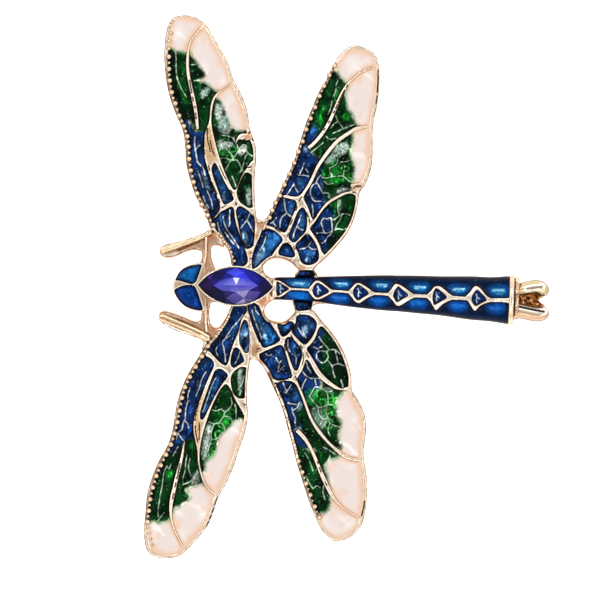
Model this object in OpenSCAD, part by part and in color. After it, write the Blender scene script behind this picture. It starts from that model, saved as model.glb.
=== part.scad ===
// Dragonfly brooch: one soldered metal casting with enamel in its cells, a navette stone
// in a cup on the thorax, and a plain pin back under the thorax and tail.
// Lengths are in mm. +X runs from head to tail, +Y to the insect's right wings, +Z up
// from the surface that the wing tips rest on. Charts below are in chart steps:
// "across" grows towards the tail and "down" towards the left wings.

/* [Scale] */
// millimetres for one chart step
chart_mm = 0.13; // [0.08:0.005:0.2]
// degrees by which the body axis is turned on the chart
chart_turn = 2.4; // [0:0.1:10]

/* [Plates] */
// droop of each pair of wings below the body, in degrees
droop = 8; // [3:0.5:12]
// thickness of the metal under the enamel
plate_t = 0.9; // [0.5:0.05:2]
// height of the cell walls above that metal
wall_h = 0.6; // [0.3:0.05:1.2]
// gap between enamel and metal on every side
gap = 0.03; // [0.01:0.01:0.1]
// how far enamel stays below the top of its walls
enamel_low = 0.12; // [0:0.02:0.4]
// thinnest wall kept between cells
min_wall = 0.1; // [0.05:0.01:0.4]

/* [Thorax] */
// length of the stone's girdle
stone_l = 9.6; // [6:0.1:16]
// width of the stone's girdle
stone_w = 4.76; // [3:0.01:9]
// wall of the cup around the stone
cup_wall = 0.26; // [0.15:0.01:0.8]
// height of the cup's rim over the thorax floor
cup_h = 2.5; // [1.5:0.1:4]
// height of the stone's crown over the cup's rim
crown_h = 0.95; // [0.5:0.05:2]
// depth of the stone below the cup's rim
pavilion_h = 1.9; // [1:0.1:3]

/* [Tail] */
// thickness of the enamel on the tail
tail_skin = 0.36; // [0.2:0.02:1]
// rise of the tail's back for each mm of half width
tail_rise = 0.86; // [0.4:0.02:1.2]
// height of the tail's upright edge
tail_edge = 0.5; // [0.2:0.05:1.5]
// height of the two end lobes
lobe_h = 2.1; // [1:0.1:4]

/* [Head] */
// height of the metal under the eyes
head_t = 0.9; // [0.5:0.05:2]
// height of the metal ridge between the eyes
head_ridge = 1.9; // [1:0.1:3]
// radius of the ball that each eye's dome is cut from
eye_ball = 3.4; // [2.5:0.1:8]
// height of an eye's dome over the head's floor
eye_h = 1.75; // [0.8:0.05:3]

/* [Pin back] */
// width of the strip on the back
strip_w = 2.4; // [1.5:0.1:4]
// thickness of that strip
strip_t = 0.62; // [0.4:0.02:1.2]
// radius of the needle
needle_r = 0.4; // [0.3:0.05:0.7]
// height of the needle's axis over the surface
needle_z = 2.3; // [1.5:0.1:3.5]
// straight length of the needle
needle_l = 22; // [15:0.5:30]
// length of the needle's point
point_l = 2.4; // [1:0.1:5]
// radius inside the catch
catch_r = 1.27; // [1:0.01:2]
// wall of the catch
catch_wall = 0.45; // [0.3:0.05:1]
// length of the catch
catch_l = 1.8; // [1:0.1:4]

/* [Hidden] */
$fn = 40;

gold = [0.86, 0.72, 0.55];
blue = [0.04, 0.12, 0.42];
green = [0.02, 0.28, 0.10];
blush = [0.93, 0.84, 0.80];
violet = [0.20, 0.20, 0.62];

// Wing outlines: [across, down, rim width]
right_fore_edge = [[234,268,2],[229,251,3],[220,238,3.6],[211,229,4.6],[205,212,5],[196,196,5],[190,179,5],
  [186,162,4.8],[185,146,4.8],[182.5,129,4.6],[174.5,110.5,4.4],[168.3,91,4.2],[164.8,69,4.2],[164.2,48,4],
  [167,27,4],[173,17.5,3.8],[184,14.7,3.4],[196,17,3.4],[207,25.5,3.8],[217,42.5,4.4],[227.5,61,4.8],
  [233,77.5,5],[241.5,94,5.4],[247.5,111,5.2],[250,128,4.8],[255.5,145,3.8],[256.3,158,3.6],[254.6,178,3.2],
  [255,204,3],[257,222,2.6],[256,242,2.6],[253,258,2],[254,272,2]];
left_fore_edge = [[236,301,2],[230,309,2.6],[225.5,319,3.6],[216,333,3.6],[206,345,4],[199.5,356,4.6],[190.5,370,4.6],
  [183.5,384,5],[177.5,401,5],[174.5,417,4.6],[172,432,4.6],[167,447,4],[158.5,462,4.4],[151.5,479,4.6],
  [147,495,4.8],[145,515,4.8],[143.8,533,5],[146,549,5.4],[154,557,5],[166,559,4.4],[178,557,4],
  [188,549.5,4.4],[198,538.5,4.8],[207,527,5],[213.5,513,5],[218,498.5,5],[226.5,483.5,5],[233.5,467.5,5],
  [239,450,5],[245,433,4.6],[247.8,416,4],[246.8,396,2.6],[248,376,3],[250.3,358,3],[251.8,340,2.6],
  [249.5,322,2.4],[247,304,2]];
right_hind_edge = [[252,270,1.5],[251,258,1.5],[254,247,1.5],[258.5,237,1.5],[261,229,2],[264,222,3],[268,215.5,3.4],
  [273,206,4],[277.5,196,4.4],[283,184,4.4],[289,171.5,4.4],[294.5,158.5,4.2],[298.5,146,4],[302.5,133,4],
  [307,119.5,4.6],[312.5,106.5,4.8],[317.8,93.5,5],[326,79.5,4.6],[332.5,66,4.6],[340.5,53.5,4.6],[350,46,4.8],
  [357,44.8,4.6],[367,48.5,4.4],[375.5,54.5,4.4],[379.3,66,4.4],[379.6,84,4.6],[377.5,104,5],[374,120,5],
  [372.8,134,4.6],[373,150,4.6],[371.5,167,4.8],[366,183,5.4],[360,192,4.4],[357.8,204,3],[354,219,3],
  [347,233,3],[336,246.5,3],[325,258,3],[316,266,3],[312,271,3],[305,272,3],[298,268,3],[290,261,2.6],
  [280,257.3,2.6],[270,258.5,2.6],[263.5,264.5,2.6],[258,270,2]];
left_hind_edge = [[247,304,1.5],[249,318,1.5],[253,331,1.8],[257.5,343,2],[256.5,352,3],[258,360.5,3],[265,370,3.6],
  [271,383,4],[278.5,399,4.2],[283.5,413,4.2],[288,430,4.2],[292.5,446,4.4],[296,461,4.6],[301.5,479,5],
  [307.5,498,5],[314,515,5],[321,529.5,5],[328.5,538,4.8],[336,542,4.6],[346.5,539.5,4.6],[356.5,533,4.8],
  [363,522,5],[366,508,5],[367.5,490,5],[366.3,474,5],[363.8,458,4.6],[364.6,444,4.4],[366.4,428,4.6],
  [364,413,4.6],[358,400.5,4.6],[352,390.5,4],[351.3,377,3.4],[347.5,362,3.4],[341,347,3.2],[332,333.5,3],
  [322,322,3],[315.5,313.5,3],[311,310.5,3],[304,310.5,3],[297,311,3],[293,315,2.6],[288,320,1.6],[282,323,1.4],
  [275,322.5,1.6],[268,319.8,2.4],[264,313.5,2.6],[262.5,307,2.4],[258,301,2]];

// Free-ended walls inside a cell: [across, down, width]
right_fore_vein = [[208,22,4],[203,26.5,4],[196,33,2.8],[190.8,41,3.2],[188.2,50,3.6],[187.4,62,4],[188.1,73,4.2],
  [190.3,85,4.4],[193,97,4.6],[195.4,109,4.4],[196.8,120,4.2],[197.6,129.5,3.8]];
left_fore_vein = [[184.5,441,2],[183.4,448,2.8],[182.2,455,3.6],[180.8,462,4],[178.5,470,4.4],[176.3,479,4.6],
  [174.3,488,4.8],[172.2,497,5],[170.8,506,4.5],[170.7,515,3.6],[172,523,3.2],[174.8,531,3],[178.5,539,2.8],
  [183,547,3],[188,553,3]];
right_hind_vein = [[384,64,3],[371,67.8,2.8],[363,71.3,2.8],[355.5,76.3,3],[349.5,81.8,3.2],[344.8,88,3.8],
  [341,95,4.2],[337.8,102.5,4.4],[334.6,110,4.4],[331.3,117.5,4.4],[327.8,124.5,4.4],[323.8,131,4.4],
  [319.5,137,4.4],[315,142,4.4],[310.8,146,4.4],[307.8,148,4.4]];
left_hind_vein = [[296.5,430,5],[300,433.5,5],[304.5,438.5,4.8],[308.2,444,4.4],[311.6,450.5,4.2],[314.8,457.5,4.4],
  [317.6,464.5,4.6],[320.8,472.5,5],[324.2,480,5.2],[328.3,488.5,5.2],[332,495.5,5],[336.8,502,4],[343,508,3],
  [350,513,3],[358,517,3],[366,521,3]];
// Bosses where a wall widens at the rim: [across, down, width]
right_fore_boss = [[256,133,8],[247,136.5,8],[241.5,136.5,7],[237.5,139,3],[236.3,143,2]];
left_fore_boss = [[252,405,12],[246.5,405,12],[243,408,6]];
right_hind_boss = [[364,186,10],[355,186,7],[350.3,184.3,3]];

// Cells: [name, [[across, down], ...]]; a cell drawn past the rim is cut back to it
right_fore_cells = [
  ["strip", [[160,12],[158,45],[160,72],[164,93],[170,112],[179,131],[181,147],[182,164],[186,182],[192,198],
    [201,214],[208,221],[212.8,217.6],[218.3,211],[219.3,206],[217,198.5],[213.2,188.5],[209.4,178],[206.5,168.5],
    [204.4,160],[203,150],[203,140],[205.2,130],[208.3,121],[209.1,112],[210.3,103],[213.5,95.5],[219,90],
    [226,85.5],[233,78],[236,70],[222,35],[205,10],[185,5]]],
  ["fan", [[238,80],[229,87],[222,92],[216.6,97.5],[214,104],[212.6,112],[212.2,121],[213.2,130],[215.6,140],
    [218.2,150],[221.2,160],[224.8,170],[229.2,180],[233,187.5],[235.6,188.5],[238.3,182.5],[240.6,176.5],
    [243.5,171.5],[247,166.5],[250.3,161.5],[255,158],[262,150],[260,138],[255,120],[250,100],[245,84]]],
  ["sliver", [[214.6,163.5],[217.5,168.5],[221,176],[225,184],[229.5,191.5],[232.8,198],[231.5,200.5],[226,203.4],
    [223.4,202],[219,190],[216,182],[213.6,175],[212.4,168.5]]],
  ["green", [[238.6,197.5],[237.6,192],[238.8,187.5],[241,181.5],[243.3,176.5],[246,173.2],[249.5,174],[252.5,177],
    [258,180],[258,203],[252,206.5],[249,207],[245,204.6],[240.8,201.5]]],
  ["blue", [[237.2,209.5],[239.5,206.8],[243.5,208.4],[248.5,212],[252,215.5],[258,220],[260,235],[256,243],
    [251.3,246.5],[246.8,248],[244,243.5],[241.6,236],[240,228.5],[238.4,220],[237,213.5]]],
  ["root", [[212,221],[216.5,217.5],[220.5,213],[226,210],[231,207.4],[233.3,209.5],[233.8,216],[235.3,223.5],
    [238,232],[241,240],[243.6,247.5],[246,254.5],[247,260],[245.6,263.8],[242,265.6],[236,266],[230,262],[222,250],
    [214,240],[208,230]]]];
left_fore_cells = [
  ["strip", [[196,352],[184,368],[175,388],[169,410],[164,434],[152,461],[143,480],[138,505],[137,540],[148,565],
    [168,566],[188,560],[208,537],[217,514],[222,497],[215,496],[208.5,492],[204.5,487],[201.6,481],[199,472],
    [197,461],[196.5,451],[194.5,441],[192.8,432],[192.6,424],[193.8,416],[195.8,408],[198.8,399],[202.6,390],
    [206.4,381],[209.5,374],[212.6,367.5],[213,363.5],[210.5,359.5],[206,357]]],
  ["fan", [[226.3,385.2],[223,387.5],[219.8,392],[215.8,400],[212,408.5],[208.6,418],[205.6,427],[203,437],
    [201,447],[200.2,456],[200.6,464],[202.4,472],[205,479.5],[208.5,486],[213,490.5],[219,493],[230,494],
    [242,470],[250,445],[253,425],[248,418.5],[243.5,416],[240.4,410],[237,404.5],[233.5,398],[230.5,391]]],
  ["sliver", [[215.5,371.5],[219.5,369.6],[223.5,371.6],[226.8,375],[226,378],[222.8,382],[218.8,388],[214.6,395],
    [211,402],[207.6,409],[204.6,415.5],[202.4,419],[200.8,417.5],[201.4,411],[203.6,403.5],[206.6,395],
    [209.6,386.5],[212.8,378]]],
  ["green", [[232.2,376],[234.8,372],[238,369.5],[241.5,367.8],[246,368.5],[252,372],[252,392],[246,396.5],
    [240.5,398],[236.3,395.8],[233.5,391.5],[232,385.5],[231.5,380.5]]],
  ["blue", [[234.5,349.3],[237,348.6],[239.3,351],[241.5,355.5],[243.3,360.5],[240.5,363],[237.5,365],[234.3,367],
    [232.2,366],[231.3,362.5],[232,356.5]]],
  ["notch", [[244.6,320.5],[247.8,325],[249,332],[249,340],[248.6,347],[247.4,352],[245,351.8],[242.8,348],
    [240.6,344],[240,338.5],[240.4,333],[241.6,327]]],
  ["root", [[226,306.5],[246,307],[246,311],[243.8,314.5],[241,319],[239.4,325],[237.9,331],[235.3,337.5],[233,342.5],
    [231,348],[229.6,353.5],[228,360],[226.3,364.3],[223.5,364],[220,361.5],[215.5,357],[211.3,352.3],[206,348],
    [200,344],[214,325],[224,311]]]];
right_hind_cells = [
  ["strip", [[279,197],[276,190],[284,170],[292,148],[298,126],[306,104],[316,82],[328,60],[342,42],[358,38],
    [376,46],[386,64],[386,90],[382,112],[378,123],[366,124.5],[355,126.3],[349,130],[343,133.6],[337,138],
    [331.5,143.6],[326,150.3],[321,157.3],[317,163.3],[313.8,169.5],[311,176],[308,182],[304.6,187.6],[301,193],
    [297,195.5],[291,195.2],[285,194]]],
  ["fan", [[378,128],[366,129],[357,131.5],[350.5,135],[345,138.5],[339.5,142.7],[334.5,148],[329.5,154],[325,160],
    [321.3,165.3],[318.3,170.7],[315.7,176.6],[313,182.3],[310,187.5],[306.8,192.4],[304.4,197.5],[306.3,202],
    [309,207.5],[311,213.5],[312.8,218],[314.7,217],[317.8,212.2],[321.6,206.8],[326,202],[331,198.3],[337,195],
    [343.5,191.7],[350,190.4],[354,189],[358,190],[370,185],[378,165]]],
  ["green", [[311,229],[311.8,226.5],[314.6,223.5],[317.5,219.3],[321,213.8],[325.3,208.3],[330,203.8],[335.5,200.3],
    [341,197.3],[346.5,194.8],[351,194],[354.5,196],[362,202],[360,216],[350,236],[336,250],[329,254.5],[325,254],
    [322.3,250.5],[320.3,244.5],[317.3,238.7],[313.8,233.3]]],
  ["lead", [[266,221],[268,224.5],[273,226.2],[279,229],[283.5,231.5],[286,230],[288,225.5],[290,220.5],
    [292.2,214.5],[295,208],[296,203.8],[294.3,200.8],[290,199.6],[285.8,198.6],[280,197.5],[272,200],[266,212]]],
  ["root", [[250,268],[249,256],[253,245],[257.5,236],[262,231.5],[266,229.3],[270.5,229.8],[276,232.6],
    [281.6,238.6],[281,241.5],[277,246.5],[273.3,251.8],[270,256.5],[265.5,258.6],[261,262],[257,266],[253,268]]],
  ["petal", [[302,208.3],[304,209.3],[305.5,213],[306.2,219],[306,226],[304.6,231.5],[300.5,235.8],[297,239.5],
    [294.6,241.5],[291.8,240.6],[289.6,237.6],[290.2,233],[292.8,226.5],[295.4,219.5],[298.4,212.5]]],
  ["drop", [[279.2,252],[280.8,248],[283.2,244.6],[286.5,243.3],[290,245.6],[292.8,250.3],[294.3,254.5],
    [292.5,256.6],[288.5,256.3],[283.5,255.3],[280.3,254.6]]],
  ["heel", [[296.3,247.5],[297,243.8],[300.3,240.6],[304,236.6],[307,234.3],[310,236.3],[313.6,241.3],[316.4,247],
    [318,253],[318,258],[315.3,262],[310.5,264],[305,263.6],[301.6,261],[300,256],[298.6,251.4]]]];
left_hind_cells = [
  ["strip", [[270,382],[276,402],[284,430],[290,455],[300,488],[310,518],[322,538],[336,549],[356,542],[370,522],
    [374,500],[374,470],[370,461],[360,462.5],[351,461.5],[344,458.8],[338.5,455],[332,449],[323,440],[315.3,430.5],
    [309.3,420],[305.5,410.5],[302,400.5],[298,390.5],[295.6,385.5],[292,382.4],[286,381.6],[281,382.2],
    [276.5,383.8]]],
  ["fan", [[298,379.5],[299.5,376],[303,370.5],[305.3,364],[306.7,360.5],[309.4,363.5],[312,368.5],[315.3,374],
    [319,378.5],[324,383],[330,387],[336,390],[343,391.2],[350,391.5],[358,394],[368,408],[374,430],[372,454],
    [362,457],[351,456],[345,453.3],[340.6,450],[336,446.8],[328.4,439.6],[320.6,429.6],[313.8,419.6],
    [309.6,409.6],[306,399.8],[302,389.8],[299.3,384]]],
  ["green", [[307.6,349.2],[310.5,345.6],[314,341.5],[316.8,336.5],[318.6,331],[320.5,327.6],[323.5,327.5],
    [330,326],[342,340],[352,360],[356,378],[352,386],[347,386.6],[342,388],[336,384.8],[330,380.3],[324,374.7],
    [319,368.2],[315,361.2],[311,354.8]]],
  ["lead", [[263.8,352.6],[268,350.8],[273.5,348.3],[279,346],[282.2,346.8],[284.2,351.5],[286.2,358],
    [288.3,365.5],[290.8,373.5],[291,377],[287,378.8],[281,379.8],[276.5,379.5],[268,374],[258,358]]],
  ["root", [[246,303],[256.5,305],[259.3,309],[261.2,314],[263.5,318.5],[268.3,321.5],[270.8,325],[274.3,330.5],
    [278,336.5],[279.3,339.6],[276.5,342.3],[271,345],[266,346.8],[262.8,346.6],[260.5,342],[252,338],[246,322]]],
  ["petal", [[287.3,338.3],[291,338],[294.3,341.3],[298.3,346],[301,350.5],[301.2,356.5],[299.4,363],[297.5,368.3],
    [296,370],[294,368],[291.5,361.8],[289,354.5],[286.6,348],[285.6,342]]],
  ["drop", [[278,324],[281,325.3],[285,325],[288.5,322.6],[291.5,322.4],[293.3,324.3],[291.8,328],[289,331.8],
    [286,334.8],[283,336],[281,334],[279.3,329.5]]],
  ["heel", [[297.3,317],[302,315.5],[308,316],[313,319],[315.9,323.5],[315,329.5],[312,336],[308.3,341],
    [305,343.9],[302,342.3],[298,338.3],[294,334],[292.5,330.5],[294.2,326.8],[296.6,322]]]];

// Plain metal in the plane of each pair of wings: [name, [[across, down], ...]]
right_metal = [
  ["leg", [[159.8,250.5],[161.3,246.6],[167,244],[178,241.3],[190,238.4],[203,233.8],[209.5,230.5],[215,233],
    [222,239],[224,246],[218,244.6],[213,244.6],[210.6,247.5],[206,252],[201.5,250.5],[197.5,249.2],[190,249.6],
    [183,252.2],[176,255.3],[169,257],[163.5,256.2],[160.6,253.6]]],
  ["bar", [[202,238],[202,248],[202,256],[200.8,262.5],[199,268],[203,278],[213,276],[216,271.5],[214.2,266],
    [211.6,258],[211,251],[212,246],[216,241],[209,235]]],
  ["web", [[254.5,219.5],[258,219],[262.5,220.3],[268,217.5],[272,222],[266,240],[262,258],[263.2,268],
    [264.6,272.8],[268,276],[272,277.5],[280,279],[280,284],[262,287],[240,276],[234,268],[240,262],[246,250],
    [252,236]]],
  ["tab", [[291,284],[290,279.2],[293.6,277],[297.3,274],[299.8,271],[299.6,266.5],[313.6,266.5],[313.4,270],
    [315.8,274.4],[319,277],[318,284]]]];
left_metal = [
  ["leg", [[158.3,317.8],[159.8,313.4],[164.5,311.6],[172,313.6],[182,317.2],[190,320.6],[196,322.4],[200.5,321],
    [205,318],[210,324],[214,328.4],[219,328],[224,325],[220,334],[209,346],[202,350],[203.6,343.6],[200.5,339.5],
    [190,335.8],[178,331.8],[168,327],[161,322.3]]],
  ["bar", [[199,294],[201,304],[201.6,311],[201.2,322],[203,332],[212,333],[210.4,325],[209.4,318],[209.4,311],
    [210.3,306],[212.5,302.5],[224,303.2],[222,298]]],
  ["web", [[246,306],[249,322],[250,345],[249.3,359.5],[253.5,359],[258.5,361],[263,356],[262,346],[266,330],
    [266,319],[264.2,312],[266.2,305.6],[272.5,300.9],[281,299.6],[280,292],[262,290],[244,298]]],
  ["tab", [[290,292],[291,299.8],[293.2,302.5],[295.2,307],[296.2,313],[311,313],[310.8,309],[313,306.4],
    [318.6,304.4],[326,303.5],[324,292]]]];
right_tab = [[300.2,270.8],[302,270.5],[311,270.5],[312.6,271],[313.6,272.6],[314.6,274.6],[306,275.4],[297.4,275.2],[299,273]];
left_tab = [[295,302.6],[302,302.3],[309.4,303.2],[310,306],[309,309.4],[303,310.4],[297.4,310.6],[296.2,306.5]];

// Head: metal outline, the two eyes and the wall behind them
head_edge = [[173.2,286.7],[174,283],[175.3,279.4],[179,272.4],[184,268],[190,265.2],[197,263.2],[202.5,262.2],
  [206,268],[205,277],[204,284],[204.6,292],[207,300],[205,310.6],[201,311],[194,310],[186,307],[179.2,301],
  [175.3,295],[173.8,290.8]];
right_eye = [[176.2,279.8],[177.6,276],[180.5,271.8],[184.5,269],[190,266.6],[196,265.5],[201.2,265.2],[199.5,271],
  [197.3,277],[195.3,281.5],[192.5,283.4],[188,282.6],[182,280.7],[178,280]];
left_eye = [[175.2,290.5],[178,288.2],[183.5,286.2],[189,285.4],[193.5,286.2],[196.3,290.5],[198.6,297],[200.8,303.5],
  [202.2,309.4],[196,309.1],[189,307.1],[184,304.4],[179.6,299.5],[176.6,295]];

// Middle of the stone, and its turn from the body axis in degrees
stone_mid = [235.4, 286];
stone_turn = 0.8;

// Tail sections: [across, right edge down, left edge down]
tail_rows = [[273,277,299.6],[290,277,300.4],[318,276.5,302.6],[352,275.6,307.2],[382,275,310.5],[400,275.2,311.8],
  [420,275.4,313.8],[441,276,315.8],[471,276,320],[490,276.8,321.6],[509,275.6,324.6]];
// Diamonds on the tail: [front tip, right corner, back tip, left corner, wall]
diamonds = [[[276.2,288.7],[277,281.8],[288.6,288.8],[277,295.4],1.6],
  [[312.4,290.4],[317.7,282.4],[329,291],[317.3,297.8],1.7],
  [[353,292],[358,285],[368.3,293],[358,300.5],2],
  [[392,294.4],[397.5,286.8],[407.8,294.9],[397,302],2.5],
  [[432.3,296],[436.7,288.3],[447,297],[435.5,304],2.6],
  [[470.8,298.5],[476,290],[486.7,299.5],[475.5,306],3]];
// Line along the tail's back: [across, down, width]
tail_line = [[284,288.6,2.4],[309,289.9,2.4],[331,291,2.4],[350,292.3,2.4],[371,293.6,2.6],[390,294.5,2.8],
  [411,295.6,3.2],[429.6,296.3,3.2],[450,297.6,3.6],[468,298.6,3.6],[490,299.8,4.2],[512,300.2,4.2]];
// Bands at the tail's end: [across, down, half length, width, height over the tail's edge]
bands = [[511.2,300.1,24.7,5,2.95],[516,298,20.6,4,2.35]];
right_lobe = [[512,285.6],[516.5,284.4],[522,282.3],[529,280.5],[536,279.6],[542,280.9],[546.4,283.8],[549,288.2],
  [548.8,292.4],[546,296],[541,296.4],[536,294],[529,294.6],[521,296],[512,297.5]];
left_lobe = [[511,300.8],[519,302.6],[528,304.6],[536,306],[543,305.6],[547,308.2],[549.2,312.2],[548.6,316.4],
  [545.4,319.8],[540,321.7],[533,321.5],[526,320],[519,318.7],[511,318.8]];
lobe_floor = [[511,292],[530,292],[541,294],[545.4,296.2],[538.8,300.3],[545,305.8],[541,309],[530,308],[511,306]];

// Functions on charts and outlines
function turn2(p) = [p[0] * cos(chart_turn) + p[1] * sin(chart_turn), p[0] * sin(chart_turn) - p[1] * cos(chart_turn)];
function at(p) = chart_mm * turn2([p[0] - 235.5, p[1] - 286.5]);
// The same place on the drooping plate of one side, so that its walls' tops lie over the chart
function lay(p, side) = let (a = at(p)) [a[0], (a[1] - side * (plate_t + wall_h) * sin(droop)) / cos(droop)];
function blend(a, b, c, d, t) = 0.5 * (2 * b + (c - a) * t + (2 * a - 5 * b + 4 * c - d) * t * t + (3 * b - a - 3 * c + d) * t * t * t);
function smooth(q, n) = let (m = len(q)) [for (i = [0:m - 1], j = [0:n - 1])
  blend(q[(i + m - 1) % m], q[i], q[(i + 1) % m], q[(i + 2) % m], j / n)];
function smooth_open(q, n) = let (m = len(q)) [for (i = [0:m - 2], j = [0:(i == m - 2 ? n : n - 1)])
  blend(q[max(i - 1, 0)], q[i], q[i + 1], q[min(i + 2, m - 1)], j / n)];
function flat(q) = [for (p = q) [p[0], p[1]]];
function unit(v) = v / max(norm(v), 1e-9);
function wind(q) = let (m = len(q)) sign([for (i = [0:m - 1]) q[i][0] * q[(i + 1) % m][1] - q[i][1] * q[(i + 1) % m][0]] * [for (p = q) 1]);
function inset_rim(q) = let (m = len(q), s = wind(q), f = flat(q)) [for (i = [0:m - 1])
  let (t = s * unit(f[(i + 1) % m] - f[(i + m - 1) % m])) [q[i][0] - t[1] * q[i][2], q[i][1] + t[0] * q[i][2]]];
function ribbon(q) = let (m = len(q), side = [for (i = [0:m - 1])
  let (t = unit([q[min(i + 1, m - 1)][0] - q[max(i - 1, 0)][0], q[min(i + 1, m - 1)][1] - q[max(i - 1, 0)][1]]))
  [[q[i][0] - t[1] * q[i][2] / 2, q[i][1] + t[0] * q[i][2] / 2], [q[i][0] + t[1] * q[i][2] / 2, q[i][1] - t[0] * q[i][2] / 2]]])
  concat([for (s = side) s[0]], [for (i = [m - 1:-1:0]) side[i][1]]);
function mid(r) = at([r[0], (r[1] + r[2]) / 2]);
function half(r) = chart_mm * cos(chart_turn) * (r[2] - r[1]) / 2;

// Placing: the middle of the whole plan is at X = Y = 0
edge_pts = [for (q = [right_fore_edge, left_fore_edge, right_hind_edge, left_hind_edge, right_lobe, left_lobe,
  right_metal[0][1], left_metal[0][1]], p = q) at(p)];
mid_x = (max([for (p = edge_pts) p[0]]) + min([for (p = edge_pts) p[0]])) / 2;
mid_y = (max([for (p = edge_pts) p[1]]) + min([for (p = edge_pts) p[1]])) / 2;
reach = max([for (p = edge_pts) abs(p[1])]);
back_z = reach * tan(droop);
base_z = back_z - 0.28;
floor_z = base_z + 1.0;
cup_z = base_z + cup_h;
spring_z = base_z + tail_edge;
joint_z = base_z + 0.85;

module placed() { translate([-mid_x, -mid_y, 0]) children(); }
module shape(q, n) { polygon([for (p = smooth(q, n)) at(p)]); }
module line_plan(q) { polygon([for (p = ribbon(smooth_open(q, 2))) at(p)]); }
module sheet(q, side) { polygon([for (p = smooth(q, 3)) lay(p, side)]); }
module sheet_inner(q, side) { polygon([for (p = inset_rim(smooth(q, 3))) lay(p, side)]); }
module sheet_line(q, side) { polygon([for (p = ribbon(smooth_open(q, 2))) lay(p, side)]); }

// One cell of a wing, cut back to the rim and to the free-ended walls
module cell_plan(q, side, edge, lines, grow) {
  offset(delta = grow) offset(delta = -min_wall) offset(delta = min_wall)
    difference() {
      intersection() { sheet(q, side); sheet_inner(edge, side); }
      for (l = lines) sheet_line(l, side);
    }
}
module cells_plan(cells, side, edge, lines) { for (c = cells) cell_plan(c[1], side, edge, lines, 0); }

// Plane of a pair of wings: side is 1 for the right pair and -1 for the left pair
module on_side(side, z) {
  placed() translate([0, 0, back_z]) rotate([-side * droop, 0, 0]) translate([0, 0, z])
    children();
}
module side_plan(edges, metal, side) {
  offset(delta = -0.05) offset(delta = 0.05) union() {
    for (e = edges) sheet(flat(e), side);
    for (m = metal) sheet(m[1], side);
  }
}

module navette(l, w) {
  r = (l * l / 4 + w * w / 4) / w;
  intersection() {
    translate([0, r - w / 2]) circle(r, $fn = 120);
    translate([0, w / 2 - r]) circle(r, $fn = 120);
  }
}

module on_thorax(z) {
  placed() translate([at(stone_mid)[0], at(stone_mid)[1], z]) rotate([0, 0, stone_turn]) children();
}

// Half-round tail between its sections, smaller all round by d
function tail_ring(r, d) = let (c = mid(r), h = half(r) - d)
  concat([[c[0], c[1] - h, base_z]],
    [for (a = [0:22.5:180]) [c[0], c[1] - h * cos(a), spring_z + (half(r) * tail_rise - d) * sin(a)]],
    [[c[0], c[1] + h, base_z]]);
function shifted(ring, x) = [for (p = ring) [p[0] + x, p[1], p[2]]];
module tail_form(d, ends) {
  own = [for (r = tail_rows) tail_ring(r, d)];
  rings = ends > 0 ? concat([shifted(own[0], -ends)], own, [shifted(own[len(own) - 1], ends)]) : own;
  k = len(rings[0]);
  m = len(rings);
  pts = [for (ring = rings, p = ring) p];
  faces = concat([[for (j = [k - 1:-1:0]) j]], [[for (j = [0:k - 1]) (m - 1) * k + j]],
    [for (i = [0:m - 2], j = [0:k - 1]) [i * k + j, (i + 1) * k + (j + 1) % k, (i + 1) * k + j]],
    [for (i = [0:m - 2], j = [0:k - 1]) [i * k + j, i * k + (j + 1) % k, (i + 1) * k + (j + 1) % k]]);
  polyhedron(pts, faces);
}
module tail_plan(grow) {
  offset(delta = grow) polygon(concat([for (r = tail_rows) at([r[0], r[1]])],
    [for (i = [len(tail_rows) - 1:-1:0]) at([tail_rows[i][0], tail_rows[i][2]])]));
}
// Room over the joints between the wing plates and the tail, where the tail's enamel runs on
module tail_roof(grow) { placed() translate([0, 0, joint_z + grow]) linear_extrude(6) tail_plan(-0.2 - grow); }
module joints(grow) {
  for (side = [1, -1]) on_side(side, -grow) linear_extrude(plate_t + wall_h + 2 * grow) offset(delta = grow) {
    for (i = [2, 3]) sheet((side > 0 ? right_metal : left_metal)[i][1], side);
    sheet(flat(side > 0 ? right_hind_edge : left_hind_edge), side);
  }
}
module kite(d, grow) { offset(delta = grow) polygon([for (i = [0:3]) at(d[i])]); }
module tail_walls_plan(grow) {
  offset(delta = grow) difference() {
    union() {
      for (d = diamonds) kite(d, d[4] * chart_mm);
      line_plan(tail_line);
      translate(at([273.7, 288.6])) square([0.58, 4], center = true);
    }
    for (d = diamonds) kite(d, 0);
  }
}
module tail_solid_plan(grow) {
  offset(delta = grow) union() {
    for (d = diamonds) kite(d, d[4] * chart_mm);
    line_plan(tail_line);
    translate(at([273.7, 288.6])) square([0.58, 4], center = true);
  }
}

module band(b) {
  c = at([b[0], b[1]]);
  hw = b[2] * chart_mm;
  translate([c[0] - b[3] * chart_mm / 2, c[1], base_z]) rotate([90, 0, 90])
    linear_extrude(b[3] * chart_mm)
      polygon(concat([[-hw, 0]], [for (a = [180:-15:0]) [hw * cos(a), tail_edge + b[4] * sin(a)]], [[hw, 0]]));
}
module lobe(q) {
  hull() {
    translate([0, 0, base_z]) linear_extrude(lobe_h * 0.55) shape(q, 2);
    translate([0, 0, base_z + lobe_h - 0.02]) linear_extrude(0.02) offset(delta = -0.95) shape(q, 2);
  }
}

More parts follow.
